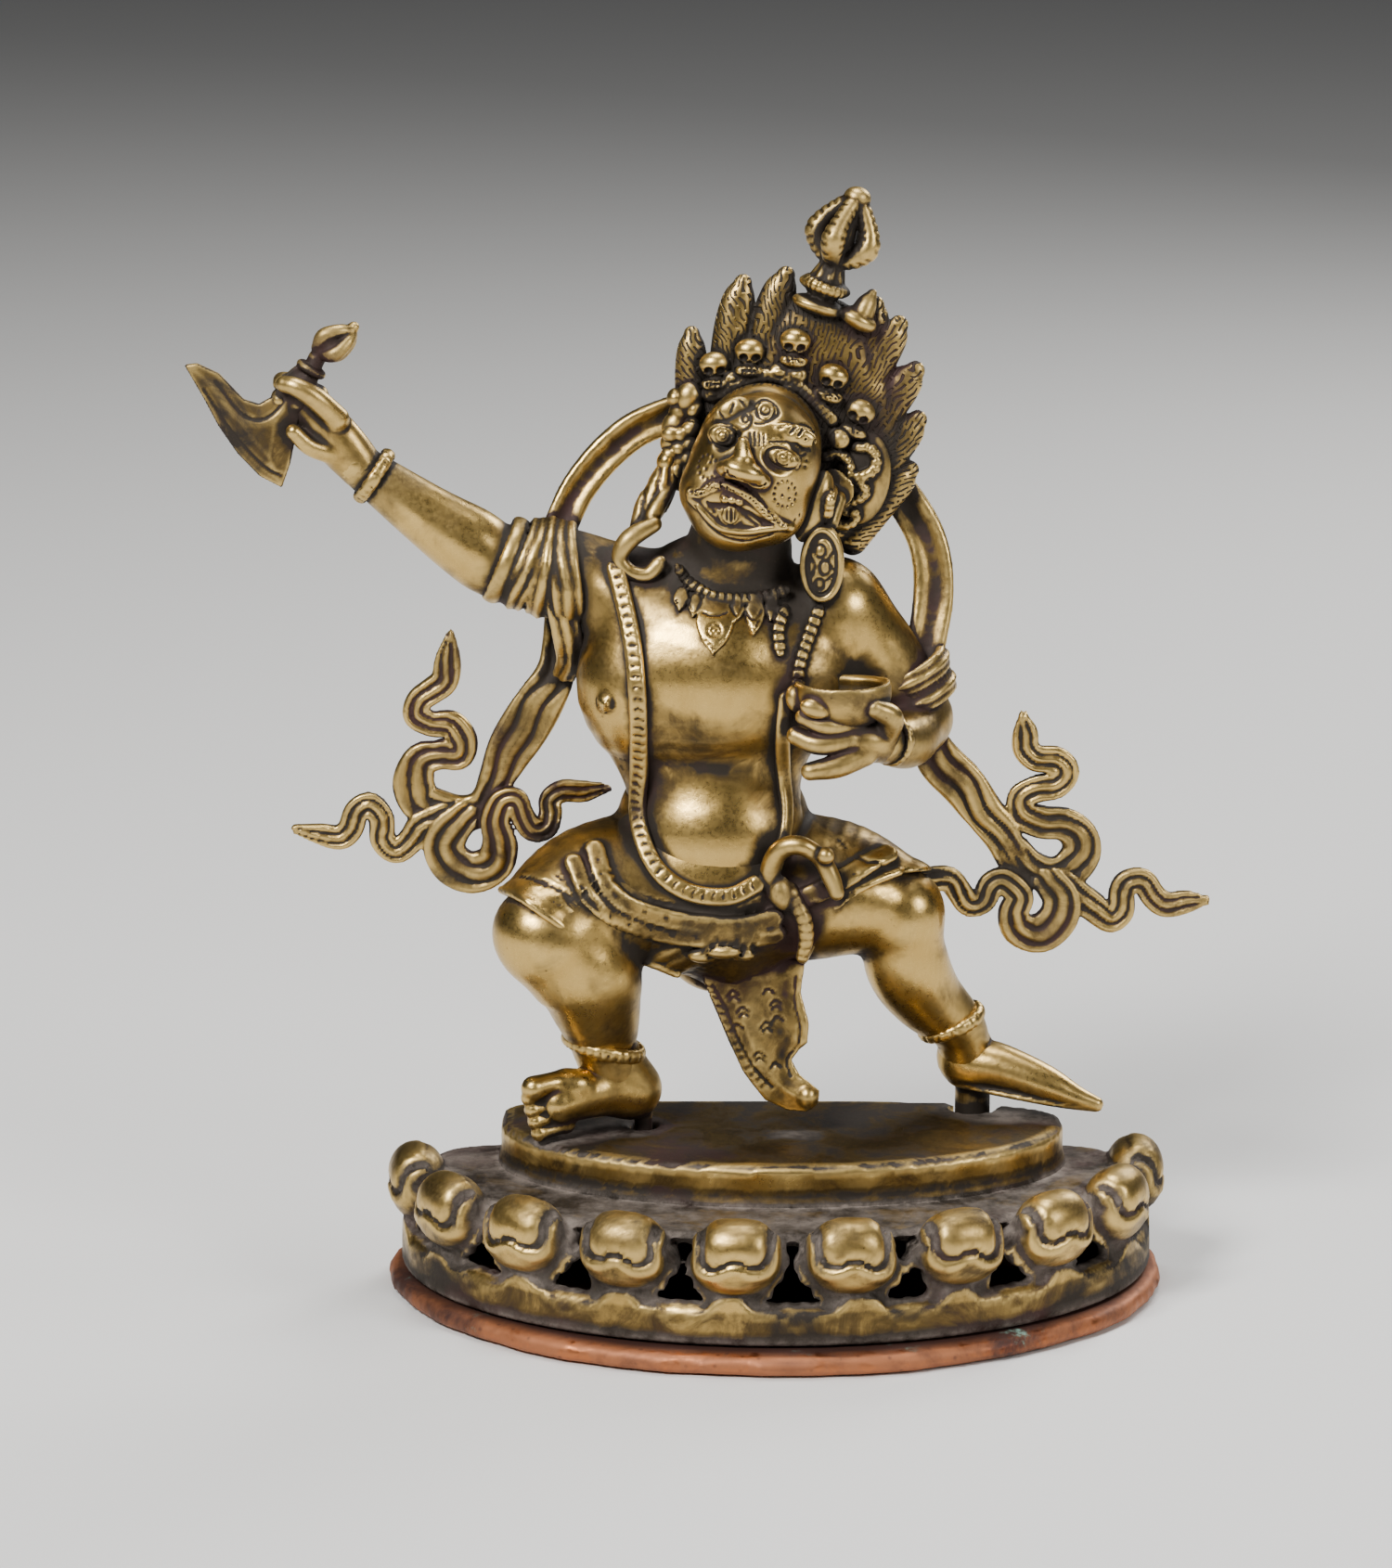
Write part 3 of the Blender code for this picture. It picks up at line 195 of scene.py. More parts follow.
def slab(outline, y, half, edge=0.35):
    """A flat plate of an x, z outline, thinner towards its rim."""
    outline = np.asarray(outline, float)

    def measure(points):
        p = points[:, [0, 2]]
        best = np.full(len(p), 1e9)
        inside = np.zeros(len(p), bool)
        for a, b in zip(outline, np.roll(outline, -1, axis=0)):
            ab = b - a
            t = np.clip(((p - a) @ ab) / (ab @ ab), 0, 1)[:, None]
            best = np.minimum(best, ((p - a - t * ab) ** 2).sum(1))
            crosses = (a[1] > p[:, 1]) != (b[1] > p[:, 1])
            with np.errstate(divide="ignore", invalid="ignore"):
                x = a[0] + (p[:, 1] - a[1]) * ab[0] / ab[1]
            inside ^= crosses & (p[:, 0] < x)
        flat = np.sqrt(best) * np.where(inside, -1, 1)
        thick = half - (half - edge) * np.clip(1 + flat / 5.0, 0, 1)
        return smooth_max(flat, np.abs(points[:, 1] - y) - thick, 0.4)

    low = (outline[:, 0].min(), y - half, outline[:, 1].min())
    high = (outline[:, 0].max(), y + half, outline[:, 1].max())
    return Form(low, high, measure)


def smooth_min(a, b, k):
    """The smaller of two distances, rounded where they come within k of each other."""
    if k <= 0:
        return np.minimum(a, b)
    h = np.maximum(k - np.abs(a - b), 0) / k
    return np.minimum(a, b) - h * h * k * 0.25


def smooth_max(a, b, k):
    return -smooth_min(-a, -b, k)


class Clay:
    """Forms joined or cut in order, measured only near each other."""

    def __init__(self, grain=0.5, reach=2.0):
        self.forms = []
        self.cells = {}
        self.middles = {}
        self.grain = grain
        self.block = grain * GRAINS
        self.reach = reach
        self.softest = 0.0

    def add(self, form, blend=0.0, cut=False):
        """Joins a form in, and notes the cubes of space that it reaches."""
        number = len(self.forms)
        self.forms.append((form, blend, cut))
        margin = max(self.reach, 1.4 * blend)
        self.softest = max(self.softest, blend)
        low = np.floor((form.low - margin) / self.block).astype(int)
        high = np.floor((form.high + margin) / self.block).astype(int) + 1
        spans = [np.arange(a, b) for a, b in zip(low, high)]
        cells = np.stack(np.meshgrid(*spans, indexing="ij"), -1).reshape(-1, 3)
        gaps = form.measure((cells + 0.5) * self.block)
        near = gaps < self.block * CUBE_REACH + margin
        for cell, gap in zip(map(tuple, cells[near].tolist()), gaps[near]):
            before = self.middles.get(cell, FAR)
            if not cut:
                self.middles[cell] = min(before, gap)
            elif cell not in self.cells:
                continue
            else:
                self.middles[cell] = max(before, -gap)
            self.cells.setdefault(cell, []).append(number)
        return form

    def cut(self, form, blend=0.0):
        return self.add(form, blend, True)

    def inside(self, cell, points):
        value = np.full(len(points), FAR)
        for number in self.cells.get(cell, ()):
            form, blend, cut = self.forms[number]
            if cut:
                value = smooth_max(value, -form.measure(points), blend)
            else:
                value = smooth_min(value, form.measure(points), blend)
        return value

    def measure(self, points):
        cells = np.floor(points / self.block).astype(int)
        order = np.lexsort(cells.T)
        cells = cells[order]
        breaks = np.flatnonzero((np.diff(cells, axis=0) != 0).any(1)) + 1
        value = np.empty(len(points))
        for group in np.split(order, breaks):
            cell = tuple(np.floor(points[group[0]] / self.block).astype(int).tolist())
            value[group] = self.inside(cell, points[group])
        return value


class Joined:
    """Several clays measured as one, for ornaments that lie across them."""

    def __init__(self, *clays):
        self.clays = clays

    def measure(self, points):
        return np.min([clay.measure(points) for clay in self.clays], axis=0)


def edges_along(values, axis):
    """For grid edges along an axis: the value at the near end, whether the skin crosses, and where."""
    first, second = [slice(None)] * 3, [slice(None)] * 3
    first[axis], second[axis] = slice(0, -1), slice(1, None)
    near, far = values[tuple(first)], values[tuple(second)]
    crossing = (near < 0) != (far < 0)
    share = np.where(crossing, near / np.where(crossing, near - far, 1), 0)
    return near, crossing, share


def quads_round(near, crossing, axis, others, base):
    """A quad round each crossed edge, as the four grid cells that share the edge."""
    inner = (slice(0, GRAINS),) * 3
    spans = np.argwhere(crossing[inner])
    outward = (near[inner][tuple(spans.T)] < 0) != (axis == 1)
    one, two = np.zeros(3, int), np.zeros(3, int)
    one[others[0]] = two[others[1]] = -1
    here = spans + base
    loop = np.stack([here, here + one, here + one + two, here + two], 1)
    loop[~outward] = loop[~outward][:, ::-1]
    return loop


def grid_names(cells):
    """One whole number for each grid cell."""
    moved = cells.astype(np.int64) + GRID_WIDTH // 2
    return (moved[..., 0] * GRID_WIDTH + moved[..., 1]) * GRID_WIDTH + moved[..., 2]


def skin(clay):
    """The surface of the clay as vertices and quads, by surface nets in cubes."""
    ticks = np.arange(GRAINS + 1)
    corner = np.stack(np.meshgrid(ticks, ticks, ticks, indexing="ij"), -1).reshape(-1, 3)
    farthest = clay.block * CUBE_REACH + SKIN_SPARE + 0.5 * clay.softest
    keys, spots, quads = [], [], []
    for cell in sorted(clay.cells):
        if abs(clay.middles[cell]) > farthest:
            continue
        base = np.array(cell) * GRAINS
        values = clay.inside(cell, (base + corner) * clay.grain).reshape((GRAINS + 1,) * 3)
        solid = values < 0
        if solid.all() or not solid.any():
            continue
        total = np.zeros((GRAINS,) * 3)
        place = np.zeros((GRAINS,) * 3 + (3,))
        for axis in range(3):
            near, crossing, share = edges_along(values, axis)
            others = [n for n in range(3) if n != axis]
            for p, q in ((0, 0), (0, 1), (1, 0), (1, 1)):
                view = [slice(None)] * 3
                view[others[0]] = slice(p, p + GRAINS)
                view[others[1]] = slice(q, q + GRAINS)
                hit = crossing[tuple(view)]
                total += hit
                place[..., axis] += np.where(hit, share[tuple(view)], 0)
                place[..., others[0]] += hit * p
                place[..., others[1]] += hit * q
            quads.append(quads_round(near, crossing, axis, others, base))
        active = total > 0
        found = np.argwhere(active) + base
        keys.append(found)
        spots.append((found + place[active] / total[active][:, None]) * clay.grain)
    names = grid_names(np.vstack(keys))
    order = np.argsort(names)
    faces = np.searchsorted(names[order], grid_names(np.vstack(quads)))
    return np.vstack(spots)[order], faces


def face_normals(spots, faces):
    """Each vertex's normal, from the quads round it."""
    a, b, c, d = (spots[faces[:, k]] for k in range(4))
    normal = np.cross(c - a, d - b)
    total = np.zeros_like(spots)
    for k in range(4):
        for axis in range(3):
            total[:, axis] += np.bincount(faces[:, k], normal[:, axis], len(spots))
    return total / (np.linalg.norm(total, axis=1)[:, None] + 1e-12)


def hollowness(spots, faces, normals, rounds):
    """How deep each vertex lies under its smoothed neighbourhood, in millimetres."""
    ends = np.concatenate([faces[:, [0, 1]], faces[:, [1, 2]], faces[:, [2, 3]], faces[:, [3, 0]]])
    degree = np.bincount(ends[:, 0], minlength=len(spots)) + np.bincount(ends[:, 1], minlength=len(spots))
    smooth = spots.copy()
    for _ in range(rounds):
        moved = np.empty_like(smooth)
        for axis in range(3):
            values = smooth[:, axis]
            moved[:, axis] = (np.bincount(ends[:, 0], values[ends[:, 1]], len(spots))
                              + np.bincount(ends[:, 1], values[ends[:, 0]], len(spots)))
        smooth = 0.35 * smooth + 0.65 * moved / np.maximum(degree, 1)[:, None]
    return ((smooth - spots) * normals).sum(1)


MASS = Clay(grain=0.55, reach=5.5)  # all the clays of the statue together
SMALLEST_SHADE = 2.6  # forms smaller than this, in millimetres, are left out of the shading
SHADE_REACHES = [(1.5, 0.45), (4.5, 0.55)]  # how far out the shading looks, and what each look counts
FINE_SPREAD, BROAD_SPREAD = 1.13, 2.5  # how far each of the two kinds of hollow is smoothed


def shade(spots, normals):
    """How much each vertex is shut in by the whole figure, 0 in the open and 1 in a deep corner."""
    closed = np.zeros(len(spots))
    for far, weight in SHADE_REACHES:
        free = MASS.measure(spots + normals * far)
        closed += weight * np.clip(1 - free / far, 0, 1)
    return closed


# Centre, radii and strength of each place that is polished by handling, or, below 0, darkened as painted
# shade under the chin, round the belly and the belts, under the cup and between the legs
RUBBED_AND_SHADED = [
    ((-15, -27, 112), (15, 12, 13), 1.25), ((-16, -22, 72.5), (10.5, 11, 11.5), 1.25),
    ((-39, -22, 104), (8, 10, 20), 0.7), ((-74, -12, 140), (14, 9, 9), 0.5),
    ((-50, -30, 45), (16, 14, 18), 0.7), ((28, -18, 48), (17, 12, 18), 0.7),
    ((58, -6, 10), (18, 10, 8), 0.5), ((-2, -30, 150), (18, 14, 22), 0.6),
    ((19, -6, 118), (9, 14, 12), 0.6), ((-42, -24, 8), (14, 12, 9), 0.4),
    # The places below 0 are painted shade.
    ((-8, -16, 129), (22, 14, 8.5), -0.6),
    ((-14.5, -14, 92), (34, 24, 40), -0.22), ((-14, -20, 46), (26, 16, 12), -0.25),
    ((-8, -18, 26), (14, 12, 20), -0.4), ((14, -26, 96), (16, 14, 12), -0.25),
]


def rubbed_and_shaded(spots):
    """How much each spot is polished by handling, above 0; below 0, painted shade on the figure and a darker
    tone on the base's tops, recesses and foot.
    """
    total = np.zeros(len(spots))
    for centre, radii, strength in RUBBED_AND_SHADED:
        far = np.linalg.norm((spots - np.array(centre)) / np.array(radii), axis=1)
        total += strength * np.clip((1.15 - far) / 0.36, 0, 1)
    inset = -d_shape(spots, RING_HALF, RING_FRONT, RING_BACK)
    height = spots[:, 2]
    on_base = (height < 0.05) & (height > BASE_FOOT)
    petals = np.clip((3.4 - inset) / 2.0, -1, 0.5)
    ring_top = (height > SHOULDER - 2.5) & (inset > 5.0)
    plinth_side, plinth_top = height > SHOULDER + 0.9, height > -0.5
    base = np.where(height < BAND_TOP - 0.5, -0.1, petals)
    base = np.where(ring_top, -1.0, base)
    base = np.where(plinth_side, 0.3, base)
    base = np.where(plinth_top, -0.6, base)
    base = np.where(height < BASE_FOOT + 2.0, -0.5, base)
    return np.clip(np.where(on_base, base, total), -1, 1)


def make_mesh(name, spots, faces):
    """A smooth object from vertices in the figure's frame and quads."""
    mesh = bpy.data.meshes.new(name)
    mesh.vertices.add(len(spots))
    mesh.vertices.foreach_set("co", ((spots + HOME) * MM).astype(np.float32).ravel())
    mesh.loops.add(faces.size)
    mesh.loops.foreach_set("vertex_index", faces.astype(np.int32).ravel())
    mesh.polygons.add(len(faces))
    sides = faces.shape[1]
    mesh.polygons.foreach_set("loop_start", np.arange(0, faces.size, sides, dtype=np.int32))
    mesh.polygons.foreach_set("loop_total", np.full(len(faces), sides, np.int32))
    mesh.update(calc_edges=True)
    mesh.validate()
    mesh.shade_smooth()
    piece = bpy.data.objects.new(name, mesh)
    bpy.context.scene.collection.objects.link(piece)
    return piece


def piece_of(name, clay, node, material):
    """Skins the clay and gives the piece its wear and painted-shade attributes, its body and its finish."""
    spots, faces = skin(clay)
    normals = face_normals(spots, faces)
    fine = hollowness(spots, faces, normals, max(2, round((FINE_SPREAD / clay.grain) ** 2)))
    broad = hollowness(spots, faces, normals, max(4, round((BROAD_SPREAD / clay.grain) ** 2)))
    piece = make_mesh(name, spots, faces)
    values = {"fine": fine, "broad": broad, "shut": shade(spots, normals), "rubbed_and_shaded": rubbed_and_shaded(spots)}
    for label, numbers in values.items():
        layer = piece.data.attributes.new(label, "FLOAT", "POINT")
        layer.data.foreach_set("value", numbers.astype(np.float32))
    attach(piece, "root")
    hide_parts(node)
    piece.data.materials.append(material)
    print(name, len(faces) * 2, "triangles")


# The photograph's rays
def rays(pixels):
    """Origins and directions, in the figure's own frame, of the photograph's pixels."""
    pixels = np.asarray(pixels, float)
    way = (AHEAD * FOCAL_PIXELS + (pixels[:, :1] - PHOTO_WIDTH / 2) * RIGHT
           - (pixels[:, 1:2] - PHOTO_HEIGHT / 2) * UP)
    return EYE - HOME, way / np.linalg.norm(way, axis=1)[:, None]


def on_surface(clay, pixels):
    """Where the photograph's pixels land on the clay, and the way its surface faces there."""
    origin, way = rays(pixels)
    travel = (BEFORE_Y - origin[1]) / way[:, 1]
    end = (BEHIND_Y - origin[1]) / way[:, 1]
    moving = np.arange(len(way))
    for _ in range(80):
        gap = clay.measure(origin + way[moving] * travel[moving, None])
        travel[moving] = np.minimum(travel[moving] + np.clip(gap, -1, 3) * 0.85, end[moving])
        moving = moving[(np.abs(gap) > 0.015) & (travel[moving] < end[moving])]
        if not len(moving):
            break
    missed = travel >= end - 1e-6
    if missed.any() and not missed.all():
        nearest = np.abs(np.flatnonzero(missed)[:, None] - np.flatnonzero(~missed)).argmin(1)
        travel[missed] = travel[~missed][nearest]
    spots = origin + way * travel[:, None]
    normal = np.empty_like(spots)
    for axis in range(3):
        step = np.zeros(3)
        step[axis] = 0.25
        normal[:, axis] = clay.measure(spots + step) - clay.measure(spots - step)
    normal /= np.linalg.norm(normal, axis=1)[:, None] + 1e-9
    return spots, normal


def pixels_of(points):
    """Where the photograph shows points of the figure's frame, as columns and rows of pixels."""
    offset = points + HOME - EYE
    depth = offset @ AHEAD
    columns = PHOTO_WIDTH / 2 + FOCAL_PIXELS * offset[:, 0] / depth
    rows = PHOTO_HEIGHT / 2 - FOCAL_PIXELS * (offset @ UP) / depth
    return columns, rows


def below(line, low, high):
    """The part of a box that the photograph shows below a line of pixels, which runs left to right."""
    line = np.asarray(line, float)
    slopes = np.gradient(line[:, 1], line[:, 0])

    def measure(points):
        u, v = pixels_of(points)
        slant = np.interp(u, line[:, 0], slopes)
        return (np.interp(u, line[:, 0], line[:, 1]) - v) * DISTANCE / FOCAL_PIXELS / np.hypot(1, slant)

    return Form(low, high, measure)


def landed(clay, rows):
    """Pairs each row that starts with a pixel with the spot where that pixel lands on the clay."""
    return zip(on_surface(clay, [row[:2] for row in rows])[0], rows)


def at(px, py, y):
    """The point of the photograph's pixel on the plane of that depth."""
    origin, way = rays([(px, py)])
    return origin + way[0] * (y - origin[1]) / way[0][1]


def strokes(clay, lines, radius, sink, blend=0.1, cut=True):
    """Engraves, or with cut=False raises, fine lines given as lists of pixels."""
    flat = [p for line in lines for p in line]
    spots, normals = on_surface(clay, flat)
    made, first = [], 0
    for line in lines:
        last = first + len(line)
        path = spots[first:last] + normals[first:last] * (radius - sink if cut else sink)
        rows = [(*p, radius, radius) for p in path]
        if len(rows) == 1:
            made.append(ball(path[0], radius))
        else:
            made.append(sweep(rows, (0.12, -1, 0.2), 3 if len(rows) > 2 else 1))
        first = last
    for form in made:
        clay.add(form, blend, cut)


def studs(clay, dots, radius, rise=0.0, cut=False, blend=0.1):
    """Raises or sinks small balls at pixels."""
    spots, normals = on_surface(clay, dots)
    for spot, normal in zip(spots, normals):
        clay.add(ball(spot + normal * rise, radius), blend, cut)


def band_on(clay, under, line, half, thick, rise=0.0, blend=0.3, relief=None, square=True):
    """Lays a flat band along a line of pixels, facing out from the surface under it."""
    spots, normals = on_surface(under, line)
    halves = np.broadcast_to(half, len(line))
    rows = [(*(p + n * rise), w, thick, *n) for p, n, w in zip(spots, normals, halves)]
    clay.add(sweep(rows, relief=relief, square=square), blend)


def oval(px, py, across, high, lean=0.0, count=16):
    """A closed pixel ellipse."""
    lean = math.radians(lean)
    dots = []
    for k in range(count + 1):
        a = math.tau * k / count
        x, y = across * math.cos(a), high * math.sin(a)
        u = x * math.cos(lean) - y * math.sin(lean)
        v = x * math.sin(lean) + y * math.cos(lean)
        dots.append((px + u, py + v))
    return dots


def ticks_between(upper, lower, count, inset=0.12):
    """Short pixel strokes that run from one pixel line to another."""
    a, b = spline(upper, 8), spline(lower, 8)
    lines = []
    for k in range(count):
        share = (k + 0.5) / count
        p = a[int(share * (len(a) - 1))]
        q = b[int(share * (len(b) - 1))]
        lines.append([tuple(p + (q - p) * inset), tuple(q + (p - q) * inset)])
    return lines


def boss(clay, pixel, radii, sink=0.0, tilt=0.0, blend=0.6):
    """Raises an ellipsoid on the surface at a pixel."""
    spots, normals = on_surface(clay, [pixel])
    clay.add(ball(spots[0] - normals[0] * sink, radii, tilt), blend)


# Pose, in millimetres: x to the photograph's right, y backwards, z above the plinth
NECK = (-9, -6.5, 131)
HEAD = (-5.6, -15, 153.7)
HEAD_TILT = 20.0
ELBOW_LOW = (31.5, -2, 94)
WRIST_RAISED = (-91.5, -6, 151)
CUP = (14.3, -26, 103.5)
PEGS = ((45.9, 3.5, 8, 4.1), (-30.6, -11.5, 7, 2.1))  # x, y, top and radius of each foot's tenon
PEG_END = -4.2
SCARF_HALF = 1.15  # half of the scarf's thickness
SCARF_SPREAD = 1.26  # the tails' true width over the half widths listed for their strands


def on_face(side, out, up):
    """A point of the head: to its right in the photograph, out of it, and towards its crown."""
    lean = math.radians(HEAD_TILT)
    x, y, z = HEAD
    return (
        x + side * math.cos(lean) + up * math.sin(lean),
        y - out,
        z - side * math.sin(lean) + up * math.cos(lean),
    )


# Body
NIPPLE = (652, 758)
NAVEL = (767, 941)


def body():
    """Torso, neck, both arms to the wrists and both legs to the ankles."""
    clay = Clay(1.05, reach=6)
    clay.add(sweep([
        (-13, -5, 44, 14, 10), (-14.6, -5, 55, 24.5, 16),
        (-14.2, -7, 67.5, 21, 16), (-14.5, -6.3, 78.5, 19.8, 14.2),
        (-15, -7, 89.5, 24, 13.4), (-15.5, -8.5, 99, 27.8, 16),
        (-13.2, -8, 111.5, 30.5, 16.6), (-11, -6, 122, 28.5, 12.8),
        (-10, -5.5, 129.5, 18.5, 10.2), (-9, -6, 133.5, 11, 9),
    ], steps=4))
    clay.add(ball((-32, -12, 104), (12.5, 12, 13)), 7)
    clay.add(ball((-13, -13.5, 105.5), (17, 13.2, 15.5)), 6)
    clay.add(ball((4, -11, 104), (12, 11.5, 13)), 7)
    clay.add(ball((-14, -11.5, 69.5), (17.5, 11.8, 13)), 7)
    clay.add(tube([(*NECK, 11.3), (-8, -9, 141, 10.6)]), 4)
    clay.add(ball((-33, -6, 121.5), (11.5, 11, 11.3)), 5)
    clay.add(ball((12, -5, 119), (12, 11, 12.3)), 5)
    clay.add(tube([
        (-36, -5, 124.5, 10.3), (-50, -5, 129.5, 9.4), (-63, -5, 131, 8.6),
        (-70, -5.2, 135.4, 8.5), (-79, -5.6, 141.6, 7.1), (*WRIST_RAISED, 5.3),
        (-95, -6.6, 154, 5),
    ]), 4)
    clay.add(tube([(13, -4.5, 119.5, 11.3), (23, -3, 108, 10), (*ELBOW_LOW, 8.5)]), 4)
    clay.add(tube([(*ELBOW_LOW, 8), (29, -13, 91.5, 6.7), (23, -23, 93.5, 5)]), 2)
    clay.add(tube([(-22, -6, 55, 17), (-40, -14, 54, 15.3), (-53.8, -23, 49, 10.9)]), 3)
    clay.add(tube([
        (-50, -22, 46.5, 12.3), (-43.5, -20, 38.5, 12.5), (-41.2, -18, 30, 10.3),
        (-40, -16, 23.5, 8.5), (-39.5, -15, 20, 7.5), (-37.5, -14, 13, 7),
    ]), 3)
    clay.add(tube([(-4, -5, 54, 17), (14, -9, 54, 14.5), (28.5, -11, 51, 9.8)]), 3)
    clay.add(tube([
        (28.5, -11, 46.5, 9), (30, -9, 37.5, 9.7), (34.5, -5, 29, 8.5),
        (42, -1, 20.5, 6.5), (44, 1, 14, 6),
    ]), 3)
    boss(clay, NIPPLE, (2.2, 1.5, 2.2), 0.5, blend=0.5)
    studs(clay, [NIPPLE], 0.8, 1.2, blend=0.2)
    studs(clay, [NAVEL], 1, 0.3, cut=True, blend=0.5)
    return clay


# Feet
def feet():
    """Both feet, toes and soles, with the tenons that hold them in the plinth."""
    clay = Clay(0.6)
    clay.add(tube([(-37.5, -14, 17, 6.6), (-33.5, -12.8, 9.5, 6.6)]))
    clay.add(tube([
        (-33.5, -12.5, 8.5, 6.3), (-40, -16, 9.8, 6.2),
        (-46.5, -20.5, 9.4, 5.6), (-50, -22.5, 8.6, 5.2),
    ]), 3)
    clay.add(ball((-47, -22, 13), (5, 4, 3.4)), 1.5)
    clay.add(tube([(-48.5, -22.5, 13.4, 3.1), (-52, -24.6, 13.6, 2.6), (-55.4, -26.6, 13.2, 2.9)]), 0.9)
    for k in range(4):
        drop = 3 * k
        clay.add(tube([
            (-48.5, -22.5, 10.8 - 0.8 * drop, 2.5), (-53.2 + 0.2 * drop, -25, 11 - 0.9 * drop, 1.7),
            (-56.4 + 0.25 * drop, -26.6, 10.9 - 0.93 * drop, 2),
        ]), 0.35)
    clay.add(tube([
        (44, 1.5, 15, 6.3), (44.5, 1.5, 11.5, 6.4), (52, -1, 10.6, 5.6), (62, -4, 7.6, 4.5),
        (69, -6, 5, 2.9), (74, -7, 3.6, 1.7),
    ]), 1)
    clay.add(sweep([
        (45, 1.5, 6.4, 5, 1.3), (55, -2, 5.2, 5.2, 1.2), (65, -5, 3.6, 3.6, 1),
        (73.5, -7, 2.7, 1.8, 0.9),
    ], facing=(0.1, 0, 1)), 0.5)
    for x, y, top, radius in PEGS:
        clay.add(tube([(x, y, top, radius), (x, y, PEG_END, radius)]))
    return clay


# Raised hand and knife
BLADE = [
    (198, 393), (212, 391), (236, 402), (263, 430), (279, 435), (293, 427), (306, 404), (318, 394),
    (330, 396), (326, 430), (319, 470), (313, 500), (304, 526), (279, 513), (255, 488), (235, 459),
    (219, 429),
]
BLADE_GROOVE = [(219, 420), (240, 452), (262, 480), (285, 503), (303, 513)]
BLADE_RIDGE = [(232, 411), (258, 444), (280, 453), (300, 440), (312, 415)]
BLADE_Y = -10.0


def knife():
    """The flaying knife: a blade, its neck, and a handle of four prongs round a core."""
    clay = Clay(0.42)
    outline = [at(px, py, BLADE_Y)[[0, 2]] for px, py in BLADE]
    clay.add(slab(outline, BLADE_Y, 1.5, 0.45))
    clay.add(tube([
        (-107.5, -9.5, 168, 2.2), (-106.2, -9.3, 172, 2.9), (-105, -9, 174.5, 2.2),
    ]), 0.8)
    clay.add(ring((-104.6, -9, 175.6), (0.5, 0, 0.86), 2.6, 1), 0.2)
    clay.add(tube([(-104.5, -9, 175.5, 2), (-103.3, -8.6, 178, 2)]), 0.3)
    core = np.array([-100.2, -8.2, 180.9])
    clay.add(ball(core, (3.6, 3.2, 3), tilt=62), 0.4)
    for k in range(4):
        angle = math.radians(35 + 90 * k)
        side = np.array([0.5 * math.cos(angle), math.sin(angle), -0.85 * math.cos(angle)])
        axis = np.array([0.86, 0.03, 0.5])
        rows = [
            (*(core - axis * 2.6 + side * 1.2), 1.6), (*(core + side * 3.3), 1.8),
            (*(core + axis * 3.4 + side * 2.3), 1.6), (*(core + axis * 5 + side * 0.8), 1.4),
        ]
        clay.add(tube(rows), 0.3)
    clay.add(tube([(-97.2, -8, 182.6, 2), (-95, -8, 184.9, 1.3)]), 0.5)
    strokes(clay, [BLADE_GROOVE, BLADE_RIDGE], 0.35, 0.3)
    return clay


def raised_hand():
    """The hand that holds the knife between thumb and fingers."""
    clay = Clay(0.42)
    clay.add(sweep([
        (-94, -6.8, 153.2, 5.1, 4.6), (-98, -7.4, 158, 5.6, 4.2), (-102.5, -8, 163.5, 5.4, 3.8),
        (-106, -8, 168.5, 4.2, 3.2),
    ]))
    clay.add(tube([
        (-99, -10, 164.5, 2.9), (-103.5, -12.6, 169.5, 2.6), (-107.5, -13.4, 172.2, 2.2),
        (-110.4, -12.4, 172.8, 1.9),
    ]), 1)
    for k in range(3):
        z = 163 + 3.6 * k
        clay.add(tube([
            (-101.5 - k, -6.5, z - 1, 2.6), (-107 - 1.2 * k, -4.8, z + 1.4, 2.3),
            (-112 + 0.4 * k, -6.6, z + 2.4, 2), (-112.2 + 0.4 * k, -9.4, z + 2.2, 1.8),
        ]), 0.4)
    clay.add(tube([
        (-100, -9, 156.5, 2.6), (-105, -11, 158.5, 2.2), (-108.5, -12.3, 162, 1.8),
    ]), 0.8)
    return clay


# Cup and its hand
def cup():
    """The skull cup, with a lobe at one side."""
    x, y, z = CUP
    clay = Clay(0.42)
    clay.add(ball((x, y, z + 2), (11, 8.8, 9.3)))
    clay.cut(ball((x, y, z + 2.4), (9, 7, 7.8)), 0.3)
    clay.cut(ball((x, y, z + 12.4), (16, 14, 10.2)), 0.5)
    clay.add(ring((x, y, z + 2.3), (0, 0, 1), 9.9, 0.75, squash=0.79), 0.2)
    clay.add(ball((x - 10.5, y - 1, z + 0.6), (2.3, 2.4, 3.2), tilt=-12), 0.6)
    clay.add(ball((x - 6.4, y - 7, z - 0.4), (3.4, 1.8, 2.2), tilt=20), 0.6)
    return clay


def cup_hand():
    """The hand under the cup."""
    clay = Clay(0.42)
    clay.add(tube([(27, -18, 92.5, 5.2), (22.5, -23, 93.5, 5)]))
    clay.add(ball((18, -26, 94.5), (7.6, 5.8, 5.4)), 2)
    clay.add(tube([(19, -28.5, 92, 3.2), (13, -31, 89.6, 2.8), (7, -32.2, 88.6, 2.1)]), 0.8)
    clay.add(tube([(16, -29.5, 95.5, 2.8), (9, -31.2, 94.6, 2.5), (3.8, -29.6, 96.2, 2.1)]), 0.5)
    clay.add(tube([(17, -28.5, 98.6, 2.7), (10.5, -31.4, 99, 2.4), (5.6, -30.2, 100.6, 2)]), 0.5)
    clay.add(tube([(24, -26, 96, 3.1), (25, -29.5, 100.3, 2.8), (21.2, -31.8, 103, 2.2)]), 0.9)
    return clay


# Bangles, armlet and the scarf's wraps on both upper arms
SLEEVE_WRAPS = ((-56.6, 130.4, 0.42, 2.8), (-52.4, 129.6, 0.16, 3), (-47.6, 128, -0.12, 3.4))


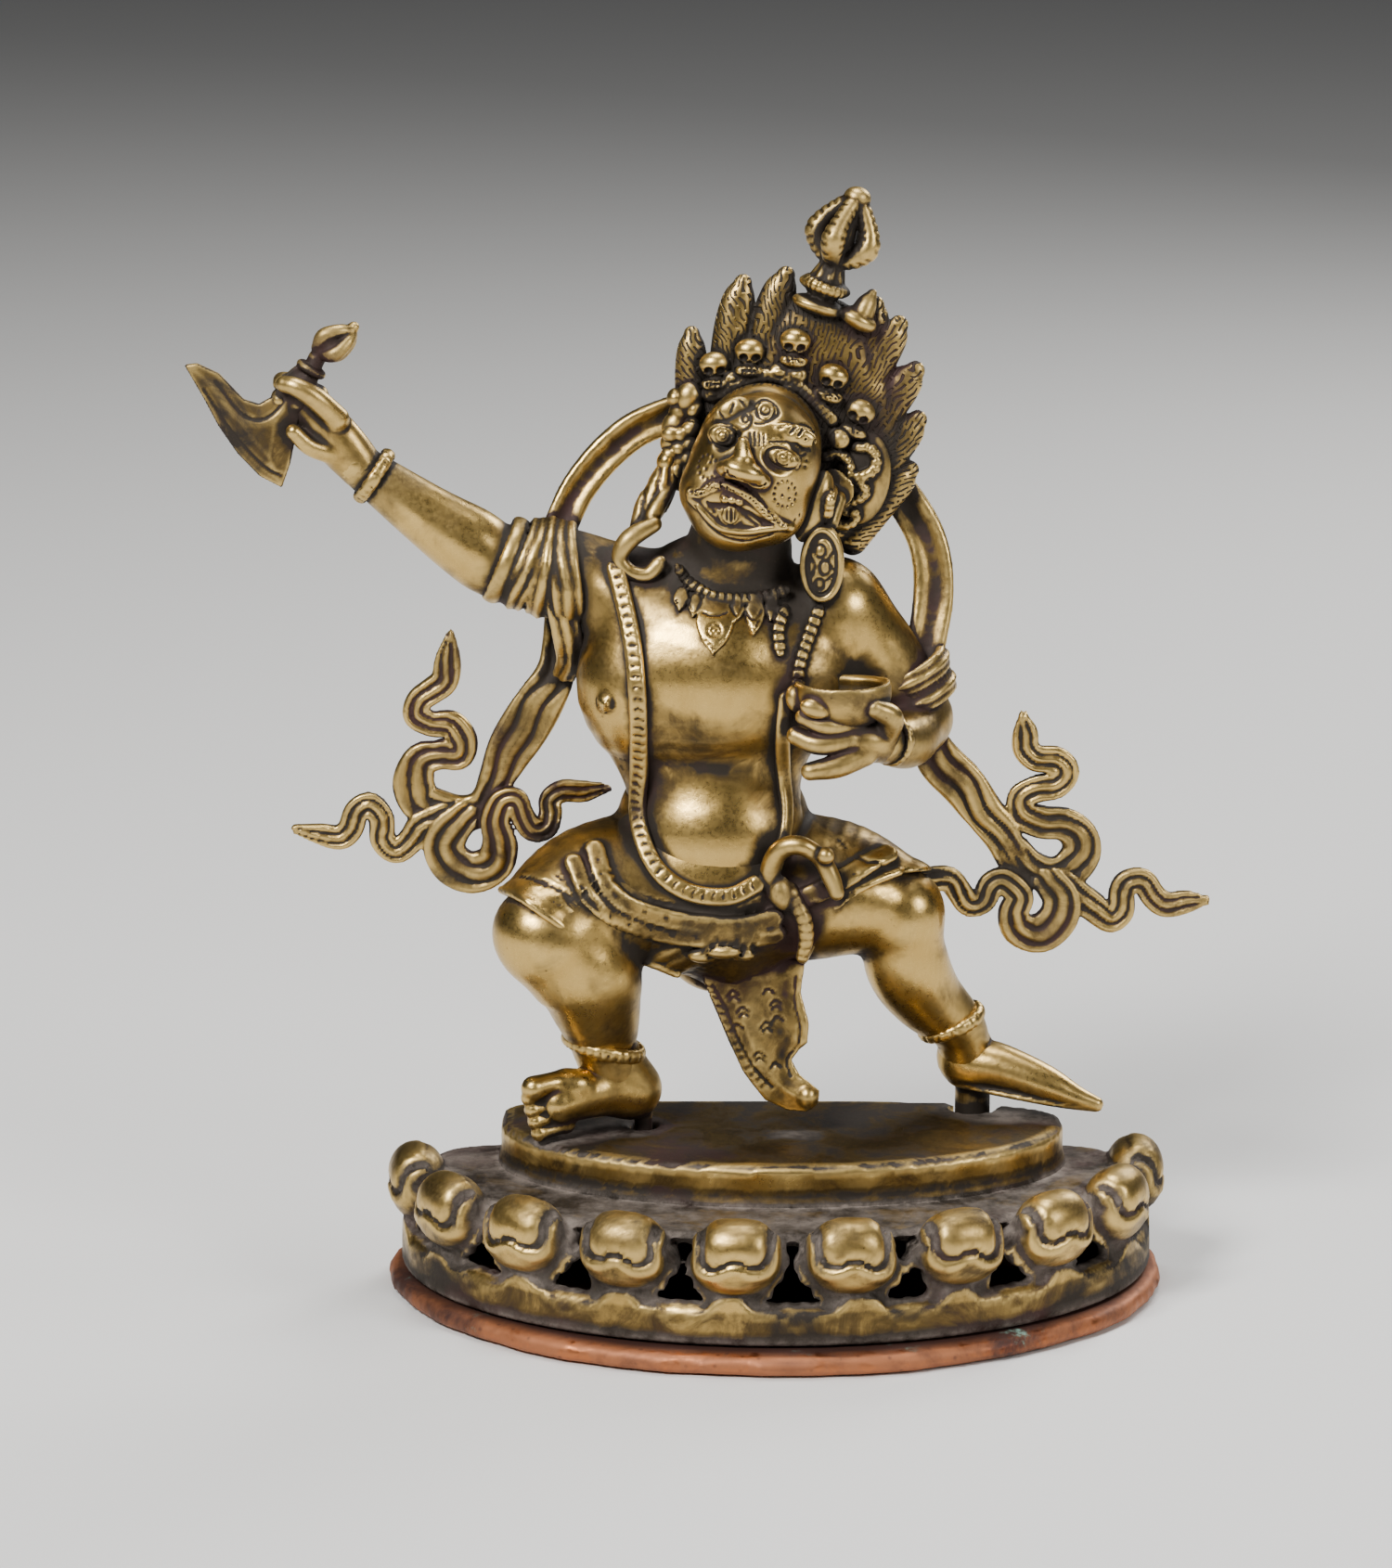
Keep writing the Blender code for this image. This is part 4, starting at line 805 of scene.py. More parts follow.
def notched(pitch, depth=0.35):
    """A band's relief with a cross groove at each pitch."""
    return lambda s, u, v: -depth * (np.cos(math.tau * s / pitch) > 0.72)


def rolled(s, u, v):
    """Cloth wound in soft rolls."""
    return 0.25 * np.cos(math.pi * 2.2 * u + 0.9 * np.sin(s / 7))


def bangles():
    """Bangles at wrists and ankles, the armlet and the wound sleeves of the scarf."""
    clay = Clay(0.6)
    clay.add(ring((-91, -6, 150.8), (-0.83, 0, 0.56), 5.9, 1.2, relief=notched(1.5), wide=1.7))
    clay.add(ring((-61.5, -5, 131.3), (-0.92, 0, 0.39), 9.3, 1.1, wide=2))
    for x, z, lean, wide in SLEEVE_WRAPS:
        radius = 9.6 + 0.14 * (x + 56)
        clay.add(ring((x, -5, z), (-0.95, 0, lean), radius, 1.5, wide=wide, relief=rolled), 0.5)
    clay.add(sweep([
        (-49, -13, 122, 3, 1.2), (-47.5, -12, 115, 3.4, 1.3), (-47, -8, 109, 3.2, 1.2),
        (-48.5, -2, 104, 2.6, 1),
    ], relief=rolled), 0.5)
    clay.add(ring((-39.7, -15.5, 20.3), (0.25, 0.05, 1), 8.8, 1.2, relief=notched(1.7), wide=1.8))
    clay.add(ring((40.5, -2, 22), (-0.42, -0.1, 1), 7.2, 1.2, relief=notched(1.6), wide=1.7))
    clay.add(ring((29.4, -1.5, 104.6), (0.45, 0.1, -0.9), 9.2, 1.5, wide=2.6, relief=rolled))
    clay.add(ring((31.2, -1.5, 99.6), (0.45, 0.1, -0.9), 8.9, 1.5, wide=2.6, relief=rolled), 0.3)
    clay.add(ring((25.2, -21, 93.2), (-0.6, -1, 0.1), 5.1, 1, relief=notched(1.5), wide=1.4))
    return clay


# Head: places on the face are pixels, and radii of raised forms are millimetres
EYES = [((779, 470), (3.7, 2.3, 2.7)), ((844, 494), (4.2, 2.3, 2.5))]
IRIS, PUPIL_RING = 8.5, 4.25
BROW_CURL = (803, 451)
THIRD_EYE = (825, 442)
BROW_LINES = [
    [(772, 436), (780, 431), (792, 427), (802, 436), (809, 448), (808, 458), (800, 463), (788, 458),
     (777, 448), (772, 436)],
    [(792, 427), (790, 436), (787, 445)],
    [(812, 440), (818, 433), (825, 430), (836, 438), (839, 446), (832, 452), (822, 456), (814, 456)],
    [(840, 461), (850, 457), (867, 458), (877, 466), (878, 475), (872, 483)],
    [(828, 476), (842, 476), (858, 479), (873, 485)],
    [(851, 467), (858, 459)], [(860, 470), (866, 461)], [(868, 474), (878, 465)],
]
NOSE = [(800, 478, -29.6, 1.5), (800, 488, -30.7, 2), (800, 497, -31.7, 2.7)]
NOSE_TIP = (801, 507)
NOSE_WINGS = [(785, 506), (817, 517)]
NOSTRILS = [(790, 515), (811, 523)]
BROW_LEAVES = [((790, 444), (4.6, 1.7, 3.1), -28), ((854, 469), (5.6, 1.7, 2.5), 16)]
MOUSTACHE = [
    (744, 532), (754, 531), (765, 525), (780, 521), (796, 528), (811, 538), (824, 551), (838, 564),
    (852, 569),
]
MOUSTACHE_TOP = [
    (742, 529), (752, 527), (763, 519), (780, 515), (797, 520), (811, 530), (821, 540), (832, 554),
    (844, 566),
]
MOUSTACHE_FOOT = [(752, 537), (767, 530), (780, 528), (792, 533), (808, 541), (820, 553), (833, 566)]
LOWER_LIP = [(744, 538), (755, 549), (767, 562), (777, 569), (790, 572), (806, 573), (826, 570), (846, 568)]
CHIN_LINE = [(748, 545), (760, 561), (773, 574), (787, 581), (808, 583), (832, 576)]
MOUTH = [(766, 545), (782, 547), (800, 552), (816, 560), (828, 566)]
TONGUE = (787, 555)
TEETH = [(781, 538), (789, 539), (797, 541)]
TONGUE_LINES = [
    oval(*TONGUE, 10, 11, count=12), [(783, 549), (783, 561)], [(788, 548), (788, 563)],
    [(793, 550), (792, 561)], [(806, 551), (822, 563)], [(804, 557), (816, 566)], [(762, 541), (770, 552)],
]
BRIDGE_HATCH = [
    [(808, 466), (808, 479)], [(813, 466), (813, 480)], [(818, 467), (818, 481)], [(823, 469), (823, 481)],
]
CHEEK_RINGS = [oval(762, 503, 10, 13, count=12), oval(846, 532, 12, 14, count=14)]
CHEEK_DOTS = [(765, 498), (760, 505), (850, 526), (843, 534), (851, 537), (857, 560), (862, 555)]
NOSE_LINES = [
    [(783, 507), (788, 515), (800, 518), (815, 523), (826, 521)], [(781, 510), (777, 519), (779, 526)],
]
LID_TICKS = [[(862, 492), (869, 489)], [(863, 497), (870, 496)], [(862, 502), (869, 503)]]


def face():
    """The head with its eyes, nose, moustache and mouth, and the fine lines of its scowl."""
    clay = Clay(0.34)
    clay.add(ball(HEAD, (14.6, 14.3, 18), tilt=HEAD_TILT))
    clay.add(ball(on_face(-6.6, 5, -6.6), (8.2, 7.6, 8), tilt=HEAD_TILT), 3)
    clay.add(ball(on_face(5.8, 5.4, -6.4), (7.9, 7.4, 7.6), tilt=HEAD_TILT), 3)
    clay.add(ball(on_face(-1.6, 4.4, -12.2), (7.8, 7.4, 6), tilt=HEAD_TILT), 3)
    for pixel, radii in EYES:
        hollow = on_surface(clay, [pixel])[0][0] - (0, 0.7, 0)
        clay.cut(ball(hollow, (4.7, 1.5, 3.3), tilt=HEAD_TILT), 1)
    for pixel, radii, lean in BROW_LEAVES:
        boss(clay, pixel, radii, 0, lean, 0.5)
    boss(clay, THIRD_EYE, (2.9, 1.6, 2.6), 0.9, HEAD_TILT, 0.5)
    clay.add(tube([(*at(px, py, y), radius) for px, py, y, radius in NOSE]), 1)
    clay.add(ball(at(*NOSE_TIP, -32.4), (4.9, 3.3, 2.5), tilt=HEAD_TILT), 0.9)
    for pixel in NOSE_WINGS:
        clay.add(ball(at(*pixel, -30.4), (2.9, 2.5, 2), tilt=HEAD_TILT), 1.2)
    for pixel, radii in EYES:
        boss(clay, pixel, radii, 0.9, HEAD_TILT, 0.1)
    strokes(clay, [MOUSTACHE], 1.2, -0.35, 0.3, cut=False)
    strokes(clay, [MOUTH], 1.1, 0.55, 0.4)
    strokes(clay, [LOWER_LIP], 0.9, -0.15, 0.3, cut=False)
    boss(clay, TONGUE, (2.5, 1.3, 2.6), 0.3, HEAD_TILT, 0.2)
    studs(clay, TEETH, 0.95, -0.1, blend=0.1)
    studs(clay, NOSTRILS, 0.9, 0.1, cut=True, blend=0.3)
    lines = [*BROW_LINES, MOUSTACHE_TOP, CHIN_LINE, *TONGUE_LINES, *NOSE_LINES]
    for pixel, radii in EYES:
        lines.append(oval(*pixel, IRIS, IRIS))
        lines.append(oval(*pixel, PUPIL_RING, PUPIL_RING, count=9))
        lines.append(oval(*pixel, radii[0] * 4.4, radii[2] * 4.2, HEAD_TILT))
    lines.append(oval(*THIRD_EYE, 10.5, 10.5, HEAD_TILT))
    lines.append(oval(*THIRD_EYE, 5, 5, count=9))
    lines.append(oval(*BROW_CURL, 3.6, 3.6, count=8))
    strokes(clay, lines, 0.33, 0.36)
    strokes(clay, [*BRIDGE_HATCH, *LID_TICKS], 0.3, 0.3)
    studs(clay, [pixel for pixel, radii in EYES] + [THIRD_EYE], 0.42, 0.1, cut=True)
    strokes(clay, ticks_between(MOUSTACHE_TOP, MOUSTACHE_FOOT, 24), 0.24, 0.24)
    studs(clay, [p for row in CHEEK_RINGS for p in row[:-1]] + CHEEK_DOTS, 0.42, 0.1, cut=True)
    return clay


# Root, tip, half width and bow of each lock of hair that stands up like a flame
FLAMES = [
    ((-18.5, 0, 152), (-19.6, 0.6, 182), 3.3, 0.4),
    ((-12.6, 0, 166), (-8.2, 0.8, 193.6), 3.6, 0.7),
    ((-5, 0, 170), (1.4, 0.8, 195.4), 3.7, 0.8),
    ((17, 0, 163), (26.8, 1, 184.2), 3.9, 0.9),
    ((17.5, 0, 153), (30.6, 1, 173.8), 4, 0.9),
    ((18, 0, 143), (31.2, 1, 162.6), 4, 0.9),
    ((17, -0.6, 135), (29.6, 0.6, 151.2), 3.8, 0.9),
    ((10, -1.2, 136), (24, 0.4, 143.8), 3.8, 0.4),
    ((20, 1, 170), (21.8, 1.6, 188.6), 3.4, 0.4),
]
# A flame's profile: share of its length, share of its bow, share of its half width, half depth
FLAME_PROFILE = [
    (0, 0, 0.8, 3.4), (0.3, 0.6, 0.95, 3.5), (0.6, 0.8, 1, 3.3),
    (0.8, 0.4, 0.95, 2.8), (0.92, -0.1, 0.8, 2.2), (1, -0.4, 0.5, 1.5),
]
SKULLS = [(770, 391, -3), (808, 377, 2), (857, 366, 6), (898, 404, 16), (927, 442, 24)]
TIARA = [(778, 424), (800, 411), (826, 405), (852, 412), (876, 430), (896, 452)]
PLAQUES = [
    (768, 424, 2.6), (790, 408, 2.2), (840, 402, 2.7), (858, 404, 2.7), (850, 418, 1.7), (884, 424, 2),
    (903, 470, 2.7),
]
SIDE_LUMPS = [
    (742, 428, 3), (733, 444, 2.6), (727, 459, 2.9), (738, 470, 2), (723, 476, 2.4), (730, 490, 2.6),
    (718, 497, 2.2), (748, 441, 2), (746, 458, 1.8), (727, 428, 1.8), (716, 511, 1.9), (728, 507, 2.1),
]
FAN_ROOT = (1, 138)  # x and z where the engraved lines of the hair would meet


def hair():
    """The mass of hair with the locks that stand up round it."""
    clay = Clay(0.56)
    clay.add(ball((3.6, 0.5, 162), (23, 6, 24), tilt=HEAD_TILT))
    clay.add(ball((8.2, 0.8, 178.5), (14, 5, 12.5), tilt=HEAD_TILT), 2)
    clay.add(ball((18, 0.5, 160), (10, 4.8, 19.5), tilt=-6), 2)
    clay.add(ball(on_face(0, -6.5, 3.5), (14, 9, 15.5), tilt=HEAD_TILT), 1)
    for root, tip, half, bow in FLAMES:
        root, tip = np.array(root), np.array(tip)
        side = np.cross(tip - root, (0, 1, 0)) / np.linalg.norm(tip - root)
        rows = []
        for share, bend, wide, deep in FLAME_PROFILE:
            spot = root + (tip - root) * share + side * bend * bow
            rows.append((*spot, half * wide * 1.15, deep))
        clay.add(sweep(rows), 0.25)
    return clay


def crown(under):
    """Band, plaques, side locks and five skulls, laid on the hair."""
    clay = Clay(0.4)
    band_on(clay, under, TIARA, 1.6, 1.2, 0.5, relief=notched(1.3, 0.3))
    for spot, (px, py, size) in landed(under, PLAQUES):
        clay.add(ball(spot, (size, 2, size * 0.85)), 0.25)
    for spot, (px, py, size) in landed(under, SIDE_LUMPS):
        clay.add(ball(spot, (size, 2.6, size * 1.2), HEAD_TILT), 0.3)
    out = np.array([0, -1, 0])
    for spot, (px, py, lean) in landed(under, SKULLS):
        c, s = math.cos(math.radians(lean)), math.sin(math.radians(lean))
        down, right = np.array([-s, 0, -c]), np.array([c, 0, -s])
        clay.add(ball(spot + out * 0.9, (3.5, 2.7, 2.7), lean), 0.15)
        clay.add(ball(spot + down * 1.4 + out * 0.9, (3, 2.4, 1.6), lean), 0.4)
        jaw = on_surface(under, [(px - 0.3 * lean, py + 22)])[0][0]
        clay.add(ball(jaw + out * 0.9, (3.3, 2.3, 1.6), lean), 0.2)
        for side in (-1, 1):
            socket = spot + right * 1.45 * side + down * 1.5 + out * 3.4
            clay.cut(ball(socket, (1.15, 1.9, 1), lean + 28 * side), 0.2)
        clay.cut(ball(spot + down * 2.6 + out * 3.2, (0.6, 1, 0.5), lean), 0.1)
        strokes(clay, [[(px - 10, py + 22), (px + 9, py + 24)]], 0.3, 0.28)
        gaps = [[(px + across, py + 17), (px + across, py + 27)] for across in (-8, -3, 2, 7)]
        strokes(clay, gaps, 0.26, 0.22)
    rims = [oval(px, py, size * 2.4, size * 2, count=9) for px, py, size in PLAQUES]
    strokes(clay, rims, 0.27, 0.24)
    return clay


FINIAL_FOOT = np.array([9.4, -2, 190.5])
FINIAL_AXIS = np.array([0.34, 0.02, 0.94])
FINIAL_SIDE = np.array([0.94, 0, -0.34])


def finial():
    """The thunderbolt on the topknot: two discs, a stem, and four prongs that close round a core."""
    clay = Clay(0.4)
    foot = FINIAL_FOOT
    axis = FINIAL_AXIS / np.linalg.norm(FINIAL_AXIS)
    side = FINIAL_SIDE / np.linalg.norm(FINIAL_SIDE)
    front = np.cross(side, axis)

    def spot(up, right=0.0, out=0.0):
        return tuple(foot + axis * up + side * right + front * out)

    def ribs(s, u, v):
        return 0.16 * np.cos(math.tau * s / 1.3)

    def leaves(s, u, v):
        return 0.25 * np.cos(math.tau * np.arctan2(v, u) * 1.3)

    def beads(s, u, v):
        return -0.2 * (np.cos(math.tau * s / 1.7) > 0.5) * (np.abs(u) > 0.5)

    for up, wide, deep in ((-1.6, 6.1, 2.1), (2.9, 6, 2.1)):
        clay.add(ball(spot(up), (wide, wide * 0.78, deep), tilt=17), 0.2)
    clay.add(ring(spot(3), tuple(axis), 5.2, 1.3, squash=0.78, relief=ribs), 0.15)
    stem = [(*spot(3.5), 4.3), (*spot(6.5), 3.3), (*spot(9.4), 2.2), (*spot(11.5), 1.8)]
    clay.add(tube(stem, relief=leaves), 0.4)
    clay.add(ball((17.8, -3, 186), (4.6, 3.8, 2.3), tilt=30), 0.3)
    clay.add(tube([(18.8, -3, 187.4, 2.8), (20, -2.6, 189.8, 2.2), (21, -2.2, 191.6, 1.1)]), 0.3)
    clay.add(tube([
        (*spot(10.6), 2.2), (*spot(13.5), 3), (*spot(17.5), 2.6), (*spot(21.5), 2.2), (*spot(24), 2.2),
    ]), 0.4)
    for k in range(4):
        angle = math.radians(20 + 90 * k)
        right, out = math.cos(angle), math.sin(angle)
        clay.add(tube([
            (*spot(9.6, 2 * right, 2 * out), 2.2), (*spot(11.8, 4.8 * right, 4.4 * out), 2.6),
            (*spot(14.4, 6.3 * right, 5.4 * out), 2.8), (*spot(18, 5.2 * right, 4.4 * out), 2.2),
            (*spot(22, 2.2 * right, 2 * out), 2),
        ], relief=beads), 0.5)
    clay.add(ball(spot(24), (3.1, 2.9, 2.5), tilt=16), 0.4)
    return clay


# Ears and their ornaments
EAR_LOOPS = [
    [(888, 494), (903, 489), (914, 496), (917, 508), (913, 520), (907, 530)],
    [(922, 482), (936, 483), (943, 492), (942, 504), (934, 511), (924, 514), (929, 522), (932, 530),
     (924, 537), (912, 542), (910, 549), (920, 551), (921, 558), (914, 564), (906, 564)],
    [(896, 508), (900, 522), (893, 536), (890, 552)],
]
EAR_STUD = (905, 473)
EARRING_SCROLLS = [
    oval(886, 610, 15, 31, 4), oval(884, 594, 6, 7, count=9), oval(889, 612, 6, 8, count=9),
    oval(883, 630, 5, 6, count=9), [(873, 600), (878, 610), (874, 622)],
    [(897, 596), (893, 604), (898, 614)], [(897, 620), (891, 626)],
]
LOCK_CURLS = [
    (744, 462), (734, 468), (743, 478), (732, 483), (741, 493), (730, 498), (738, 508), (727, 512),
    (735, 521), (723, 468), (722, 490),
]


def ears():
    """Ears, looped ornaments, the round earring and the lock that falls on the other side."""
    clay = Clay(0.44)
    clay.add(ball(on_face(15.4, 0.6, -3), (3.6, 4.4, 8.6), tilt=HEAD_TILT))
    clay.add(ball((19, -3.6, 150), (6.4, 3, 11), tilt=8), 2)
    for line in EAR_LOOPS:
        band_on(clay, clay, line, 1.35, 1.3, 0.5, 0.2, notched(1.5, 0.3), square=False)
    clay.add(ball(at(*EAR_STUD, -7), (2.4, 1.8, 2.4)), 0.2)
    clay.add(ball((9.7, -17.6, 133), (5, 1.9, 8.9), tilt=4), 0.2)
    clay.add(ring((9.7, -18.6, 133), (0.03, -1, 0), 4.3, 0.75, squash=1.85), 0.2)
    clay.add(tube([(13, -12, 146.5, 2.2), (11.5, -15, 142, 2)]), 0.5)
    strokes(clay, EARRING_SCROLLS, 0.42, 0.42)
    strokes(clay, [[p] for p in oval(*EAR_STUD, 8, 8, count=10)[:-1]], 0.4, 0.3)

    def strands(s, u, v):
        return -0.3 * (np.cos(math.tau * (1.3 * u + s / 9)) > 0.4)

    clay.add(sweep([
        (-24.5, -5, 153, 2.4, 2.4), (-26, -6.5, 149, 3.4, 2.8),
        (-29, -9, 143.5, 3.6, 2.6), (-32, -11, 138.5, 2.2, 2),
    ], relief=strands), 0.4)
    for pixel in LOCK_CURLS:
        clay.add(ball(at(*pixel, -5), (2.2, 2, 1.9)), 0.3)
    clay.add(tube([
        (-28, -12.5, 141, 1.9), (-33.5, -14.2, 137.8, 2.3), (-35.6, -14.6, 133.6, 1.9),
        (-33.4, -15, 130.6, 1.8), (-29.6, -15, 130, 1.8), (-26.8, -14.4, 132.3, 1.9),
    ]), 0.3)
    clay.add(tube([(-25, -8, 148, 1.6), (-27.5, -11, 144, 1.9), (-29.5, -12.2, 140.5, 1.4)]), 0.3)
    return clay


# Necklace, snake, skirt
COLLAR = [(729, 612), (738, 624), (751, 634), (770, 642), (796, 646), (824, 643), (847, 636)]
PENDANTS = [
    ((734, 649), 2.1, 2), ((749, 656), 2, 1.8), ((770, 679), 4.5, 5.4),
    ((793, 660), 2.3, 2.2), ((813, 667), 2.6, 3.6), ((831, 659), 2, 2.2),
]
PENDANT_LINES = [
    [(757, 660), (770, 664), (784, 660)], oval(770, 679, 7, 7, count=9), oval(770, 679, 3, 3, count=7),
    [(760, 690), (770, 701)], [(781, 690), (770, 701)], [(728, 646), (735, 660), (743, 647)],
    [(803, 660), (812, 668), (821, 658)], [(806, 670), (812, 679), (818, 668)],
    [(740, 648), (748, 660), (755, 650)], [(787, 653), (794, 664), (800, 652)],
]
STRANDS = [[(845, 655), (838, 678), (840, 704)], [(883, 655), (872, 682), (861, 716), (858, 745)]]
SNAKE = [
    (664, 614), (676, 660), (684, 705), (688, 760), (690, 820), (689, 870), (694, 910), (712, 942),
    (745, 962), (785, 966), (814, 953),
]
SNAKE_RIGHT = [(846, 752), (843, 790), (843, 832), (846, 872), (843, 905), (834, 936)]


def domed(s, u, v):
    return -0.35 * u * u


def necklace(under):
    """A notched collar with six pendants, and two strands of beads."""
    clay = Clay(0.36)
    band_on(clay, under, COLLAR, 1.55, 1.2, 0.3, relief=notched(1.75, 0.5), square=False)
    for (px, py), wide, high in PENDANTS:
        rise = high * 4.7
        line = [(px + 1, py - rise), (px, py - rise * 0.3), (px - 1, py + rise * 0.45), (px - 2, py + rise)]
        band_on(clay, under, line, (wide * 0.8, wide, wide * 0.7, 0.5), 0.9, 0.2, 0.2, domed)
    strokes(clay, PENDANT_LINES, 0.3, 0.28)
    for line in STRANDS:
        band_on(clay, under, line, 1.45, 1.1, 0.4, relief=notched(2.2, 0.45))
    return clay


def snake(under):
    """A snake worn as a sash, knotted at the waist."""

    def scales(s, u, v):
        crescents = np.cos(math.tau * (s / 2.3 - 0.45 * u * u)) > 0.72
        return np.where(crescents & (np.abs(u + 0.15) < 0.55), -0.26, 0)

    def belly(s, u, v):
        return -0.16 * (np.cos(math.tau * s / 2) > 0.8) * (v > 0)

    clay = Clay(0.42)
    band_on(clay, under, SNAKE, 2.1, 1.5, 0.7, relief=scales)
    band_on(clay, under, SNAKE_RIGHT, 1.7, 1.2, 0.4)
    clay.add(tube([
        (-1, -23.4, 58.4, 2.2), (-1.8, -25, 64, 2.3), (0.6, -26.8, 69.2, 2.3),
        (5, -27.8, 70.4, 2.2), (9.5, -27.4, 67.4, 2), (11.8, -27.6, 63.2, 2.1),
        (13.2, -28, 59.4, 1.7),
    ]), 0.3)
    clay.add(ball((10.6, -29.2, 68.4), (2, 1.9, 2)), 0.4)
    clay.add(tube([
        (2.5, -24, 59, 2.2), (5.5, -25.2, 53.5, 2), (6.4, -25.2, 48.5, 1.8), (5.6, -24.6, 43.6, 1.5),
    ], relief=belly), 0.5)
    clay.add(ball((0.6, -24.6, 58.6), (3, 2.8, 4.4), tilt=-20), 0.5)
    return clay


BELTS = [
    [(641, 916), (650, 946), (666, 968), (700, 984), (750, 995), (800, 997), (834, 989)],
    [(618, 930), (633, 965), (662, 990), (706, 1004), (756, 1012), (800, 1013), (838, 1006)],
]
BELT_RIGHT = [(866, 968), (890, 957), (915, 944), (938, 930), (956, 921)]
HEM_LEFT = [
    (516, 955), (538, 960), (560, 970), (580, 984), (602, 1000), (622, 1015), (645, 1026), (672, 1033),
    (700, 1040), (728, 1050), (752, 1066),
]
HEM_MIDDLE = [(775, 1078), (840, 1078)]
HEM_RIGHT = [
    (858, 1060), (868, 1036), (880, 1014), (897, 990), (910, 972), (940, 954), (970, 942), (1004, 938),
]
APRON = [
    (752, 1022), (757, 1056), (768, 1082), (784, 1120), (800, 1152), (824, 1182), (848, 1194), (868, 1194),
    (881, 1186), (883, 1172), (872, 1163), (861, 1155), (853, 1141), (861, 1130), (870, 1122), (872, 1102),
    (863, 1070), (868, 1036),
]
FOLDS = [
    [(655, 935), (668, 955), (690, 968), (720, 976)], [(625, 952), (645, 985), (676, 1006), (700, 1012)],
    [(904, 905), (925, 925), (952, 932)], [(884, 950), (905, 968), (930, 958)],
    [(878, 975), (898, 984), (918, 972)], [(575, 948), (600, 962), (628, 985), (655, 1004)],
    [(598, 942), (622, 962), (646, 984)], [(560, 945), (590, 952), (618, 970)],
]
BOW_NOTCHES = [[(768 + 11 * k, 1019), (764 + 11 * k, 1036)] for k in range(5)]
SKIRT_PRINTS = [
    (600, 975), (618, 955), (640, 998), (665, 1016), (640, 975), (610, 942), (585, 960), (905, 960),
    (925, 945), (890, 990), (912, 965), (880, 1005),
]
BOW = [((757, 1029), 3.4), ((780, 1024), 4), ((800, 1027), 3.2)]
APRON_LEFT = [(757, 1060), (770, 1084), (785, 1121), (801, 1153), (826, 1180)]
APRON_LINE = [(768, 1062), (781, 1086), (795, 1120), (810, 1148), (832, 1172)]
APRON_RIGHT_LINE = [(858, 1052), (856, 1080), (862, 1104), (860, 1126), (848, 1142), (852, 1160)]
APRON_PRINTS = [
    (790, 1072), (828, 1070), (836, 1082), (794, 1108), (826, 1106), (838, 1100), (818, 1138), (836, 1150),
    (800, 1090),
]
APRON_Y = -17.0


def skirt():
    """The tiger skin round hips and thighs, with two belts and a bow."""
    clay = Clay(0.7)
    clay.add(sweep([
        (-14.6, -6, 68, 22.4, 16.4), (-15, -7, 60, 27.6, 18.4), (-14, -8, 52, 27, 18.6),
        (-9, -8.5, 44, 18.5, 14.5), (-6, -9, 36, 10, 9),
    ], steps=5))
    clay.add(tube([(-24, -7, 56.5, 18.1), (-42, -13, 55.2, 15.9), (-54, -22, 50.2, 12.4)]), 2)
    clay.add(tube([(-2, -6, 55, 18.1), (14, -8, 55.6, 15.4), (28, -10.4, 52.2, 11.2)]), 2)
    hem = HEM_LEFT + HEM_MIDDLE + HEM_RIGHT
    clay.cut(below(hem, (-75, -40, 18), (48, 30, 64)), 0.8)
    strokes(clay, [HEM_LEFT[1:-1], HEM_RIGHT[1:-1]], 1, -0.5, 0.3, cut=False)
    for line, half in ((BELTS[1], 2.1), (BELTS[0], 2.3), (BELT_RIGHT, 2.4)):
        band_on(clay, clay, line, half, 1, 0.4, 0.2)
    for pixel, wide in BOW:
        boss(clay, pixel, (wide, 1.8, 1.8), -0.3, blend=0.2)
    strokes(clay, FOLDS + BOW_NOTCHES, 0.45, 0.42)
    hatch = []
    for belt in BELTS:
        row = spline(np.array(belt, float), 8)
        for k in range(3, len(row) - 2, 4):
            hatch.append([tuple(row[k] + (-1, -3)), tuple(row[k] + (1, 2))])
    for px, py in SKIRT_PRINTS:
        hatch.append([(px - 4, py - 3), (px, py), (px + 5, py + 1)])
    strokes(clay, hatch, 0.33, 0.3)
    return clay


def apron():
    """The panel of tiger skin that hangs between the legs."""
    clay = Clay(0.46)
    plate = slab([at(px, py, APRON_Y)[[0, 2]] for px, py in APRON], APRON_Y, 1.7, 0.5)

    def leaned(points):
        """The panel hangs forward a little and waves."""
        moved = points.copy()
        moved[:, 1] += 0.12 * (28 - points[:, 2]) - 0.7 * np.sin(0.5 * points[:, 0] + 1)
        return plate.measure(moved)

    clay.add(Form(plate.low - (0, 4, 0), plate.high + (0, 4, 0), leaned), 0.4)
    clay.add(ball((7, -19.5, 9), (2.5, 2.5, 2.9)), 0.4)
    lines = [APRON_LINE, APRON_RIGHT_LINE]
    lines += [[(px - 6, py + 2), (px - 1, py - 4), (px + 6, py)] for px, py in APRON_PRINTS]
    lines += [[(px - 4, py + 6), (px + 1, py + 2), (px + 6, py + 6)] for px, py in APRON_PRINTS[::2]]
    strokes(clay, lines, 0.34, 0.32)
    strokes(clay, ticks_between(APRON_LEFT, APRON_LINE, 14, 0.2), 0.3, 0.26)
    return clay


